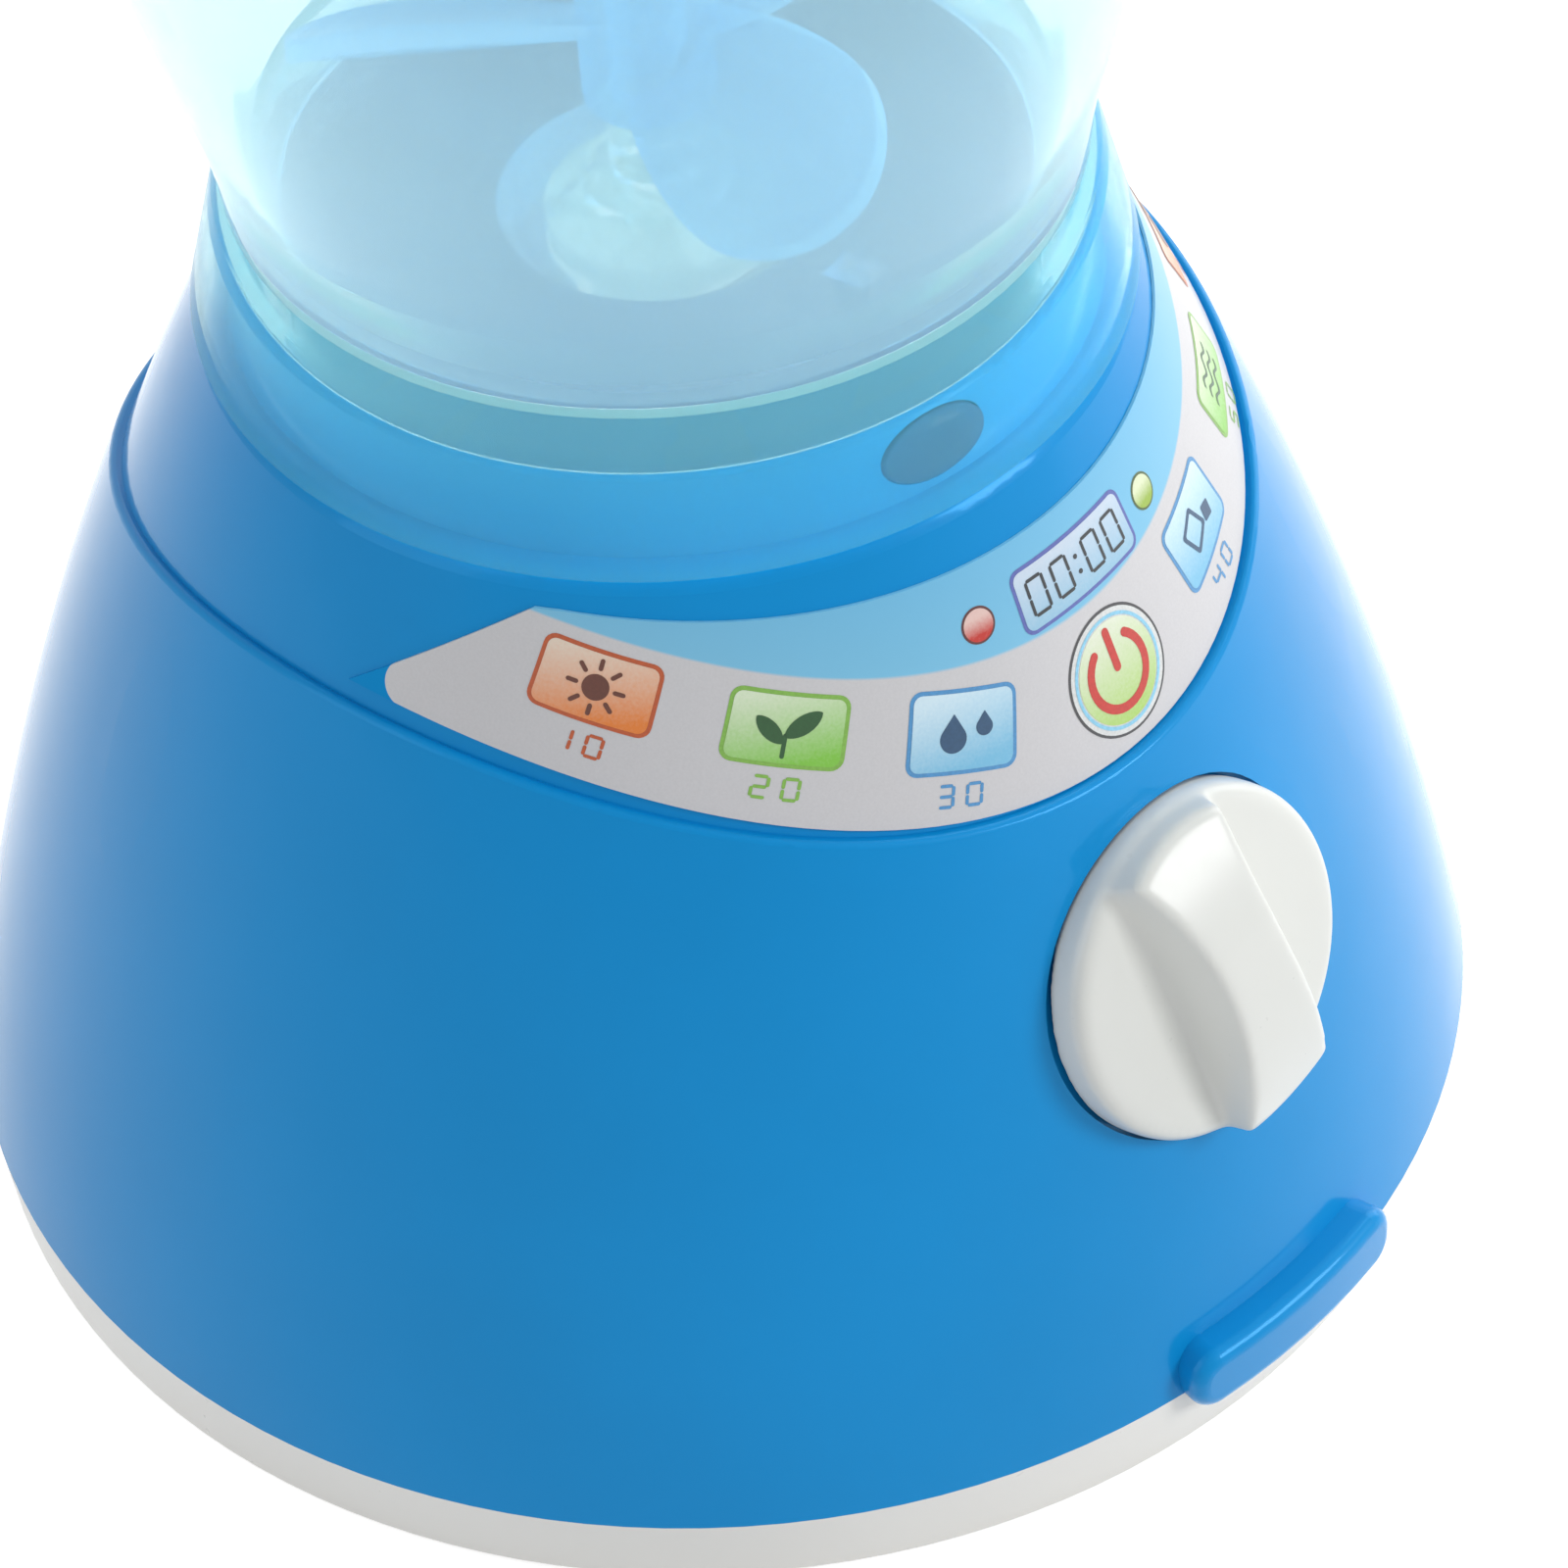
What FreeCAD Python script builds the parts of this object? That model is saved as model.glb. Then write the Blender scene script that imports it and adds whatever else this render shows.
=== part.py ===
import FreeCAD, Part
import math
import os

# Toy blender: a battery base with a turning knob, a lift-off clear jug with a spinning
# paddle in its floor, and a lid with a lift-out cap. Millimetres, Z up, the front faces -Y.
# The origin is on the axis, on the flat underside that the toy stands on.
# Angles called phi run round the Z axis from the front (-Y) towards the right side (+X).

os.makedirs("parts", exist_ok=True)
V = FreeCAD.Vector

# Base housing, outer form
seam_height = 6.7          # top of the white foot ring, where the blue housing starts
seam_radius = 60.0
foot_taper = 0.7           # the foot ring tapers in a little towards the table
foot_radius = seam_radius - foot_taper
side_lean = 11.6           # lean of the side at the seam, in degrees from upright
side_curve = 310.0         # radius of the long curve of the side, seen in profile
deck_height = 80.0         # flat top face round the boss
deck_edge_round = 2.4
band_recess = 0.85         # the upper band lies this much inside the lower body
rim_low = 57.0             # height of the lower body's rim at the front and back
rim_saddle_radius = 79.5   # the rim is where a cylinder along Y cuts the body
rim_round = 0.55
side_wall = 2.8
deck_wall = 2.4

# Boss that the jug stands on, and the well in it for the coupling
boss_foot_radius = 32.1
boss_top_radius = 30.5
boss_height = 6.5
boss_wall = 2.2
boss_edge_round = 0.7
well_radius = 12.0
well_depth = 7.0
well_wall = 2.0

# Foot ring and bottom cover
cover_floor = 2.0
cover_wall = 2.4
cover_edge_round = 0.8
lip_height = 4.0
lip_wall = 1.8
lip_gap = 0.2
case_post_circle = 46.5
case_post_angles = (-110.0, -40.0, 40.0, 110.0)
cover_post_radius = 4.0
cover_post_height = 12.0
case_post_radius = 3.6
post_gap = 0.2
case_screw_radius = 1.45
case_screw_head_radius = 2.8
case_screw_head = 2.0
case_screw_length = 18.0
screw_hole_gap = 0.05
screw_clearance = 0.3
counterbore_depth = 5.0

# Batteries, two AA cells lying along X behind the centre
cell_radius = 7.25
cell_length = 49.2
cell_nub_radius = 2.6
cell_nub = 1.3
cell_spacing = 15.2
bay_centre_y = 24.0
bay_play = 0.5
bay_wall = 1.5
spring_length = 4.6        # pressed between its plate and the flat end of the cell
spring_half_span = 4.8
spring_width = 6.0
spring_sheet = 0.45
contact_sheet = 0.4
contact_width = 11.0
door_thickness = 1.8
door_ledge = 1.5
door_gap = 0.3
door_lug_radius = 4.2
door_screw_radius = 1.2
door_screw_head_radius = 2.2
door_screw_length = 8.0
door_screw_inset = 3.0     # from the tip of the door's lug

# Drive: motor, pinion, gear, shaft and coupling
gear_module = 0.5
pinion_teeth = 10
gear_teeth = 40
mesh_play = 0.12           # extra centre distance, so that the teeth run freely
pressure_angle = 20.0
tooth_thinning = 0.06
gear_width = 4.0
gear_hub_radius = 3.6
gear_hub_height = 7.0
shaft_radius = 1.5
motor_shaft_radius = 1.0
run_clearance = 0.04
seat_gap = 0.02
motor_radius = 10.2
motor_flat = 7.7
motor_length = 25.0
motor_cap_length = 2.2
motor_nose_radius = 3.0
motor_nose = 1.6
bracket_height = 62.0      # underside of the bracket plate
bracket_thickness = 2.0
gear_clearance = 2.0       # air between the bracket plate and the large gear
gear_height = bracket_height + bracket_thickness + gear_clearance
bracket_half_length = 30.0
bracket_half_width = 12.0
cradle_depth = 12.0
cradle_wall = 1.6
cradle_gap = 0.1
bracket_post_x = 25.0
bracket_post_radius = 3.5
bracket_screw_radius = 1.2
bracket_screw_head_radius = 2.4
bracket_screw_length = 10.0
bush_radius = 3.0
bush_flange_radius = 4.2
bush_flange = 0.7
dog_disc_radius = 8.5
dog_disc_thickness = 1.9
dog_height = 1.8
dog_inner_radius = 3.4
dog_count = 3
dog_angle = 50.0
dog_end_gap = 0.3

# Control board on the bottom cover
board_half_length = 22.0
board_half_width = 13.5
board_centre_y = -30.0
board_thickness = 1.4
board_post_radius = 2.6
board_post_height = 9.0
board_post_inset = 3.5
board_screw_radius = 1.0
board_screw_head_radius = 1.9
board_screw_length = 6.0

# Knob and rotary switch at the front
knob_height = 40.2         # height of the knob's centre on the side
knob_phi = -2.0
knob_radius = 13.7
knob_sink = 1.9            # the knob's underside lies this far under the side's surface
knob_rim = 1.7             # and its rim stands this far over it
knob_rim_round = 1.2
knob_crown = 0.3
knob_rest_turn = 8.0       # the grip leans this much from the upright at rest
knob_skin = 1.8
knob_hub_radius = 3.8
knob_pocket_gap = 0.3
knob_pocket_floor = 2.2
grip_peak = 7.05           # height of the middle of the arched grip
grip_arch = 27.0           # radius of the arch of its top
grip_reach = 13.4
grip_waist = 3.3           # half width at the top of the middle
grip_high_foot = 6.2       # half widths at the foot, at the upper and the lower end
grip_low_foot = 5.0
grip_edge_round = 0.7
pad_radius = 16.5
pad_thickness = 2.4
switch_half = 6.5
switch_depth = 8.0
switch_neck_radius = 3.4
switch_neck_gap = 0.1
spindle_radius = 2.0
spindle_into_knob = 3.6
nut_flats = 9.0
nut_thickness = 1.3

# Light beside the boss
light_phi = -10.6
light_height = 83.1
light_half_width = 4.4
light_half_height = 2.5
light_bulge = 1.0
light_gap = 0.15
light_flange = 0.8
light_flange_lip = 1.0
light_flange_gap = 0.1
led_radius = 1.5
led_length = 4.6
led_board = 1.0

# Printed panel on the recessed band
panel_thickness = 0.2
panel_glue = 0.02
panel_low = 57.2           # lowest point of the lower edge, on a cylinder along Y
panel_low_curve = 70.4
panel_high = 75.45         # lowest point of the upper edge, on a flatter cylinder along Y
panel_high_curve = 221.6
panel_tip_y = -6.7         # a slanted cut goes from the tips up to the corners
panel_tip_height = 71.2
panel_corner_y = -15.6
panel_corner_height = 77.5

# Moulded bar at the bottom of the front
bar_phi = -2.0
bar_half_angle = 10.7
bar_low = 5.3
bar_high = 11.0
bar_reach = 2.0
bar_corner = 2.4
bar_round = 1.2
bar_gap = 0.35

# Slot in the boss top
slot_phi = 7.0
slot_radius = 17.0
slot_length = 3.6
slot_width = 3.0
slot_depth = 1.2

# Jug
jug_floor_thickness = 2.0
bowl_wall = 2.0
spigot_radius = 30.2
neck_radius = 31.7
neck_height = 12.2         # top of the neck's first stretch, over the jug's underside
waist_radius = 32.5
jug_height = 85.5          # rim over the jug's underside
mouth_radius = 51.8
bowl_floor_round = 5.5
mouth_bead = 1.2
mouth_bead_height = 3.5
collar_lift = 0.2          # the skirt stops this far over the deck
collar_foot_radius = 35.0
collar_shoulder_radius = 32.4
collar_shoulder_height = 4.2
collar_top_height = 6.1
collar_wall = 1.5
collar_seat_gap = 0.1
floor_ring_radius = 5.7
floor_ring_height = 1.5
spout_radius = 9.0
spout_height = 26.0
spout_reach = 4.5

# Jug handle on the right side
handle_width = 13.5
handle_reach = 70.5
handle_low = 7.3           # over the jug's underside
handle_high = 76.0
handle_thickness = 7.5
handle_corner = 15.0
handle_edge_round = 2.4
handle_gap = 0.05

# Paddle and its spindle
paddle_hub_radius = 5.0
paddle_hub_low = 10.2      # over the jug's underside
paddle_hub_height = 14.5
paddle_count = 3
paddle_phi = -15.0
paddle_reach = 26.0
paddle_half_width = 8.2
paddle_root_half_width = 3.4
paddle_thickness = 1.6
paddle_pitch = 32.0
paddle_curve = 30.0
spindle_post_radius = 3.4
spindle_journal_radius = 2.4
spindle_top_radius = 2.5

# Lid and cap
lid_thickness = 2.2
lid_flange_radius = 54.2
lid_flange_height = 3.0
lid_dome_radius = 45.0
lid_dome_height = 6.0
lid_collar_radius = 18.5
lid_collar_wall = 2.2
lid_collar_height = 10.0
lid_plug_depth = 7.5
lid_plug_gap = 0.4
lid_plug_wall = 2.0
cap_gap = 0.4
cap_radius = 20.0
cap_rise = 7.0
cap_skin = 1.8
cap_plug_depth = 9.0

# Parts soldered to the control board, measured from its middle
chip_half_length = 5.0
chip_half_width = 4.0
chip_height = 1.6
capacitor_radius = 3.0
capacitor_height = 7.0
capacitor_x = 12.0
capacitor_y = 2.0
socket_near = 8.0
socket_far = 15.0
socket_front = 3.0
socket_rear = 6.0
socket_height = 5.0
resistor_start = 7.0
resistor_end = 15.0
resistor_near = 6.0
resistor_far = 8.0
resistor_height = 1.8

# Grip ribs on the battery door, and the blind hole up the paddle's hub
door_rib_first = 6.0
door_rib_step = 3.0
door_rib_count = 3
hub_cut_depth = 20.0
hub_cap = 3.0

# Heights and radii that follow from the sizes above
boss_top = deck_height + boss_height
well_floor = boss_top - well_depth
well_base = well_floor - well_wall
side_centre_r = seam_radius - side_curve * math.cos(math.radians(side_lean))
side_centre_z = seam_height - side_curve * math.sin(math.radians(side_lean))
saddle_z = rim_low + rim_saddle_radius
cavity_top = deck_height - deck_wall
centre_distance = gear_module * (pinion_teeth + gear_teeth) / 2 + mesh_play
bracket_top = bracket_height + bracket_thickness
jug_base = boss_top
jug_floor = jug_base + jug_floor_thickness
jug_rim = jug_base + jug_height
lid_seat = jug_rim


def side_radius(z, inset=0.0):
    """Radius of the side's long curve at a height, moved inwards by inset."""
    return side_centre_r + math.sqrt((side_curve - inset) ** 2 - (z - side_centre_z) ** 2)


def place(r, phi, z):
    """Point at a radius, at an angle from the front, at a height."""
    a = math.radians(phi)
    return V(r * math.sin(a), -r * math.cos(a), z)


def cylinder(radius, low, high, x=0.0, y=0.0):
    return Part.makeCylinder(radius, high - low, V(x, y, low))


def block(x0, x1, y0, y1, z0, z1):
    return Part.makeBox(x1 - x0, y1 - y0, z1 - z0, V(x0, y0, z0))


def outline(start, *steps):
    """Closed wire in the XZ plane. A step is an end point, or a mid point and an end point of an arc."""
    edges = []
    here = V(start[0], 0, start[1])
    for step in list(steps) + [start]:
        arc = isinstance(step[0], tuple)
        end = V(step[1][0], 0, step[1][1]) if arc else V(step[0], 0, step[1])
        if end.distanceToPoint(here) < 1e-7:
            continue
        if arc:
            edges.append(Part.Arc(here, V(step[0][0], 0, step[0][1]), end).toShape())
        else:
            edges.append(Part.LineSegment(here, end).toShape())
        here = end
    return Part.Wire(edges)


def turned(start, *steps, angle=360.0, from_phi=None):
    """Solid turned about the Z axis from an outline of radius and height."""
    face = Part.Face(outline(start, *steps))
    if from_phi is not None:
        face.rotate(V(0, 0, 0), V(0, 0, 1), from_phi - 90.0)
    return face.revolve(V(0, 0, 0), V(0, 0, 1), angle)


def side_arc(inset, low, high):
    """Arc step along the side's curve, from a height to another."""
    mid = (low + high) / 2
    return ((side_radius(mid, inset), mid), (side_radius(high, inset), high))


def surface_frame(phi, z, lean):
    """Local frame on the side: X along the side, Y up it, Z straight out of it."""
    out = place(1.0, phi, 0.0)
    along = V(math.cos(math.radians(phi)), math.sin(math.radians(phi)), 0)
    tilt = math.radians(lean)
    normal = out * math.cos(tilt) + V(0, 0, math.sin(tilt))
    up = out * -math.sin(tilt) + V(0, 0, math.cos(tilt))
    return along, up, normal


def seated(shape, phi, radius, z, lean):
    """Copy of a shape built in the local frame, moved to its place on the side."""
    along, up, normal = surface_frame(phi, z, lean)
    origin = place(radius, phi, z)
    m = FreeCAD.Matrix(along.x, up.x, normal.x, origin.x,
                       along.y, up.y, normal.y, origin.y,
                       along.z, up.z, normal.z, origin.z,
                       0, 0, 0, 1)
    moved = shape.copy()
    moved.Placement = FreeCAD.Placement(m).multiply(moved.Placement)
    return moved


def edges_on_circle(shape, radius, z, x=0.0, y=0.0):
    """Edges whose ends and middle lie on a level circle."""
    found = []
    for edge in shape.Edges:
        a, b = edge.ParameterRange
        points = [edge.valueAt(a + (b - a) * k / 4) for k in range(5)]
        if all(abs(p.z - z) < 1e-4 and abs(math.hypot(p.x - x, p.y - y) - radius) < 1e-4 for p in points):
            found.append(edge)
    return found


def screw(head_radius, head, radius, length):
    """Pan-head screw pointing up, its head's upper face at height 0, with a cross recess below."""
    body = cylinder(head_radius, -head, 0).fuse(cylinder(radius, 0, length))
    slot = head_radius * 0.6
    width = head_radius * 0.12
    cross = block(-slot, slot, -width, width, -head, -head * 0.5)
    cross = cross.fuse(block(-width, width, -slot, slot, -head, -head * 0.5))
    return body.cut(cross).removeSplitter()


def moved_to(shape, x, y, z):
    copy = shape.copy()
    copy.translate(V(x, y, z))
    return copy


def save(name, shape):
    shape.exportStep("parts/" + name + ".step")


# Places shared by mating pieces
case_posts = [place(case_post_circle, phi, 0) for phi in case_post_angles]
knob_lean = math.degrees(math.asin((knob_height - side_centre_z) / side_curve))
knob_centre_radius = side_radius(knob_height)
boss_lean = math.degrees(math.atan((boss_foot_radius - boss_top_radius) / boss_height))
boss_slope = (boss_foot_radius - boss_top_radius) / boss_height
light_radius = boss_foot_radius - boss_slope * (light_height - deck_height)
bracket_posts = (-bracket_post_x, bracket_post_x)
board_posts = [(sx * (board_half_length - board_post_inset),
                board_centre_y + sy * (board_half_width - board_post_inset))
               for sx in (-1, 1) for sy in (-1, 1)]
board_low = cover_floor + board_post_height
bay_half_length = (cell_length + cell_nub + spring_length + seat_gap) / 2 + contact_sheet
bay_half_width = cell_spacing / 2 + cell_radius + bay_play
bay_ceiling = door_thickness + 2 * cell_radius + 2 * bay_play
cell_height = door_thickness + cell_radius + bay_play
door_half_length = bay_half_length + door_ledge - door_gap
door_half_width = bay_half_width + door_ledge - door_gap
door_lug_y = bay_centre_y - bay_half_width - door_ledge
door_screw_y = door_lug_y - door_lug_radius + door_screw_inset
door_boss_height = door_screw_length + 2 * bay_play
nub_end = -bay_half_length + contact_sheet


def build_base_housing():
    low = turned((0, seam_height), (seam_radius, seam_height),
                 side_arc(0, seam_height, deck_height - deck_edge_round),
                 (0, deck_height - deck_edge_round))
    saddle = Part.makeCylinder(rim_saddle_radius, 4 * seam_radius,
                               V(0, -2 * seam_radius, saddle_z), V(0, 1, 0))
    low = low.cut(saddle)
    rim_edges = []
    for edge in low.Edges:
        a, b = edge.ParameterRange
        points = [edge.valueAt(a + (b - a) * k / 6) for k in range(1, 6)]
        on_saddle = all(abs(math.hypot(p.x, p.z - saddle_z) - rim_saddle_radius) < 1e-3 for p in points)
        on_side = all(abs(math.hypot(p.x, p.y) - side_radius(p.z)) < 1e-3 for p in points)
        if on_saddle and on_side:
            rim_edges.append(edge)
    low = low.makeFillet(rim_round, rim_edges)

    band = turned((0, seam_height), (side_radius(seam_height, band_recess), seam_height),
                  side_arc(band_recess, seam_height, deck_height), (0, deck_height))
    band = band.makeFillet(deck_edge_round,
                           edges_on_circle(band, side_radius(deck_height, band_recess), deck_height))
    boss = Part.makeCone(boss_foot_radius, boss_top_radius, boss_height, V(0, 0, deck_height))
    boss = boss.makeFillet(boss_edge_round, edges_on_circle(boss, boss_top_radius, boss_top))
    body = low.fuse([band, boss])
    full = body.copy()

    cavity = turned((0, seam_height - 1), (side_radius(seam_height - 1, side_wall), seam_height - 1),
                    side_arc(side_wall, seam_height - 1, cavity_top), (0, cavity_top))
    boss_cavity = Part.makeCone(boss_foot_radius - boss_wall, boss_top_radius - boss_wall,
                                boss_top - boss_wall - cavity_top, V(0, 0, cavity_top))
    body = body.cut(cavity.fuse(boss_cavity))

    # Well for the coupling, with the hole for the upper bush
    body = body.fuse(cylinder(well_radius + well_wall, well_base, boss_top - boss_wall / 2))
    body = body.cut(cylinder(well_radius, well_floor, boss_top + 1))
    body = body.cut(cylinder(bush_radius + seat_gap, well_base - 1, well_floor + 1))

    # Posts for the case screws and for the motor bracket
    for p in case_posts:
        foot = cover_post_height + post_gap
        post = cylinder(case_post_radius, foot, deck_height, p.x, p.y).common(full)
        body = body.fuse(post)
        body = body.cut(cylinder(case_screw_radius + screw_hole_gap, foot - 1,
                                 counterbore_depth + case_screw_length + 1, p.x, p.y))
    for x in bracket_posts:
        body = body.fuse(cylinder(bracket_post_radius, bracket_top, boss_top - boss_wall / 2, x))
        body = body.cut(cylinder(bracket_screw_radius + screw_hole_gap, bracket_top - 1,
                                 bracket_height + bracket_screw_length + 1, x))

    # Pad, pocket and hole for the knob
    pad = seated(cylinder(pad_radius, -knob_pocket_floor - pad_thickness, 0),
                 knob_phi, knob_centre_radius, knob_height, knob_lean).common(full)
    body = body.fuse(pad)
    pocket = cylinder(knob_radius + knob_pocket_gap, -knob_pocket_floor, knob_rim + 4)
    pocket = pocket.fuse(cylinder(switch_neck_radius + switch_neck_gap, -2 * side_wall - pad_thickness, 0))
    body = body.cut(seated(pocket, knob_phi, knob_centre_radius, knob_height, knob_lean))

    # Opening for the light in the boss
    hole = oval_prism(light_half_width + light_gap, light_half_height + light_gap,
                      -2 * boss_wall, light_bulge + 1)
    body = body.cut(seated(hole, light_phi, light_radius, light_height, boss_lean))

    # Slot in the boss top
    slot = block(-slot_width / 2, slot_width / 2, -slot_radius - slot_length / 2,
                 -slot_radius + slot_length / 2, boss_top - slot_depth, boss_top + 1)
    slot.rotate(V(0, 0, 0), V(0, 0, 1), slot_phi)
    body = body.cut(slot)

    # Moulded bar that hangs over the foot ring
    bar_out = seam_radius + bar_reach
    bar_in = seam_radius + bar_gap
    root = seam_radius - side_wall / 2
    bar = turned((root, bar_low), (bar_out, bar_low), (bar_out, bar_high), (root, bar_high),
                 angle=2 * bar_half_angle, from_phi=bar_phi - bar_half_angle)
    ends = [e for e in bar.Edges if abs(e.Vertexes[0].Z - e.Vertexes[-1].Z) < 1e-6
            and abs(math.hypot(e.Vertexes[0].X, e.Vertexes[0].Y)
                    - math.hypot(e.Vertexes[-1].X, e.Vertexes[-1].Y)) > 1.0]
    bar = bar.makeFillet(bar_corner, ends)
    outer = [e for e in bar.Edges
             if all(abs(math.hypot(v.X, v.Y) - bar_out) < 1e-3 for v in e.Vertexes)]
    bar = bar.makeFillet(bar_round, outer)
    bar = bar.cut(cylinder(bar_in, 0, seam_height))
    return body.fuse(bar).removeSplitter()


def oval_prism(half_width, half_height, low, high):
    """Upright prism on an ellipse."""
    ellipse = Part.Ellipse(V(0, 0, low), half_width, half_height).toShape()
    return Part.Face(Part.Wire(ellipse)).extrude(V(0, 0, high - low))


def build_bottom_cover():
    ring = Part.makeCone(foot_radius, seam_radius, seam_height)
    ring = ring.makeFillet(cover_edge_round, edges_on_circle(ring, foot_radius, 0))
    ring = ring.cut(cylinder(seam_radius - cover_wall, cover_floor, seam_height + 1))
    lip_top = seam_height + lip_height
    lip_out = side_radius(lip_top, side_wall) - lip_gap
    body = ring.fuse(cylinder(lip_out, cover_floor / 2, lip_top).cut(
        cylinder(lip_out - lip_wall, cover_floor, lip_top + 1)))

    # Battery bay with its ledge for the door
    bx = bay_half_length + door_ledge + bay_wall
    by = bay_half_width + door_ledge + bay_wall
    body = body.fuse(block(-bx, bx, bay_centre_y - by, bay_centre_y + by, 0, bay_ceiling + bay_wall))
    body = body.fuse(cylinder(door_lug_radius + bay_wall, 0, door_boss_height + bay_wall, 0, door_lug_y))
    for p in case_posts:
        body = body.fuse(cylinder(cover_post_radius, cover_floor / 2, cover_post_height, p.x, p.y))
    for x, y in board_posts:
        body = body.fuse(cylinder(board_post_radius, cover_floor / 2, board_low, x, y))

    body = body.cut(block(-bay_half_length, bay_half_length, bay_centre_y - bay_half_width,
                          bay_centre_y + bay_half_width, -1, bay_ceiling))
    rx = bay_half_length + door_ledge
    ry = bay_half_width + door_ledge
    body = body.cut(block(-rx, rx, bay_centre_y - ry, bay_centre_y + ry, -1, door_thickness))
    body = body.cut(cylinder(door_lug_radius, -1, door_thickness, 0, door_lug_y))
    body = body.cut(cylinder(door_screw_radius + screw_hole_gap, -1, door_boss_height, 0, door_screw_y))
    for p in case_posts:
        body = body.cut(cylinder(case_screw_head_radius + screw_clearance, -1, counterbore_depth, p.x, p.y))
        body = body.cut(cylinder(case_screw_radius + screw_clearance, -1, cover_post_height + 1, p.x, p.y))
    for x, y in board_posts:
        body = body.cut(cylinder(board_screw_radius + screw_hole_gap, cover_floor, board_low + 1, x, y))
    return body.removeSplitter()


def build_battery_door():
    door = block(-door_half_length, door_half_length, bay_centre_y - door_half_width,
                 bay_centre_y + door_half_width, 0, door_thickness)
    door = door.fuse(cylinder(door_lug_radius - door_gap, 0, door_thickness, 0, door_lug_y))
    head_room = door_screw_head_radius + screw_clearance / 2
    door = door.cut(cylinder(door_screw_radius + screw_clearance, -1, door_thickness + 1, 0, door_screw_y))
    door = door.cut(Part.makeCone(head_room, door_screw_radius + screw_clearance, door_thickness / 2,
                                  V(0, door_screw_y, 0)))
    # Grip ribs across the far end
    ribs = [block(-door_half_length / 3, door_half_length / 3, y - 0.5, y + 0.5, -1, 0.5)
            for y in [bay_centre_y + door_rib_first + door_rib_step * n for n in range(door_rib_count)]]
    return door.cut(ribs[0].fuse(ribs[1:])).removeSplitter()


def build_door_screw():
    rise = door_thickness / 2
    shank = door_screw_radius
    body = Part.makeCone(door_screw_head_radius, shank, rise).fuse(cylinder(shank, 0, door_screw_length))
    slot = door_screw_head_radius * 0.6
    cross = block(-slot, slot, -0.25, 0.25, -1, 0.5).fuse(block(-0.25, 0.25, -slot, slot, -1, 0.5))
    return moved_to(body.cut(cross), 0, door_screw_y, 0)


def build_cells():
    cells = []
    for side in (-1, 1):
        cell = Part.makeCylinder(cell_radius, cell_length, V(0, 0, 0), V(1, 0, 0))
        cell = cell.makeFillet(0.6, [e for e in cell.Edges if len(e.Vertexes) == 1])
        cell = cell.fuse(Part.makeCylinder(cell_nub_radius, cell_nub, V(-cell_nub, 0, 0), V(1, 0, 0)))
        cell.translate(V(nub_end + cell_nub + seat_gap, 0, 0))
        if side > 0:
            cell.rotate(V(0, 0, 0), V(0, 0, 1), 180)
        cell.translate(V(0, bay_centre_y + side * cell_spacing / 2, cell_height))
        cells.append(cell)
    return Part.makeCompound(cells)


def build_contacts():
    """One long plate joins the cells at one end, and each has its own plate at the other."""
    half = contact_width / 2
    pieces = []
    for end, spans in ((-1, ((-1, 1),)), (1, ((-1, -1), (1, 1)))):
        x0 = -bay_half_length if end < 0 else bay_half_length - contact_sheet
        for first, last in spans:
            y0 = bay_centre_y + first * cell_spacing / 2 - half
            y1 = bay_centre_y + last * cell_spacing / 2 + half
            pieces.append(block(x0, x0 + contact_sheet, y0, y1, cell_height - half, cell_height + half))
    return Part.makeCompound(pieces)


def build_spring(side):
    """Bowed leaf spring, with its feet on the plate and its crown on the cell."""
    plate = bay_half_length - contact_sheet - seat_gap
    crown = plate + seat_gap - spring_length + seat_gap
    half = spring_half_span
    inner = half - spring_sheet
    leaf = Part.Face(outline((plate, -half), ((crown, 0), (plate, half)), (plate, inner),
                             ((crown + spring_sheet, 0), (plate, -inner))))
    leaf = leaf.extrude(V(0, spring_width, 0))
    leaf.translate(V(0, -spring_width / 2, 0))
    if side > 0:
        leaf.rotate(V(0, 0, 0), V(0, 0, 1), 180)
    leaf.translate(V(0, bay_centre_y + side * cell_spacing / 2, cell_height))
    return leaf


def involute_gear(teeth, low, width, phase):
    """Spur gear with involute flanks, its first tooth at the given angle."""
    pitch = gear_module * teeth / 2
    base = pitch * math.cos(math.radians(pressure_angle))
    tip = pitch + gear_module
    root = pitch - 1.25 * gear_module
    half = math.pi / (2 * teeth) - tooth_thinning / pitch

    def roll(radius):
        t = math.sqrt(max((radius / base) ** 2 - 1, 0))
        return t - math.atan(t)

    flank_low = max(base, root)
    flank = [flank_low + (tip - flank_low) * k / 3 for k in range(4)]
    points = []
    for n in range(teeth):
        middle = phase + 2 * math.pi * n / teeth
        left = [(r, middle - half - roll(pitch) + roll(r)) for r in flank]
        right = [(r, middle + half + roll(pitch) - roll(r)) for r in reversed(flank)]
        feet = [(root, left[0][1])] if root < flank_low else []
        ends = [(root, right[-1][1])] if root < flank_low else []
        for r, a in feet + left + right + ends:
            points.append(V(r * math.cos(a), r * math.sin(a), low))
    face = Part.Face(Part.makePolygon(points + [points[0]]))
    return face.extrude(V(0, 0, width))


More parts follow.
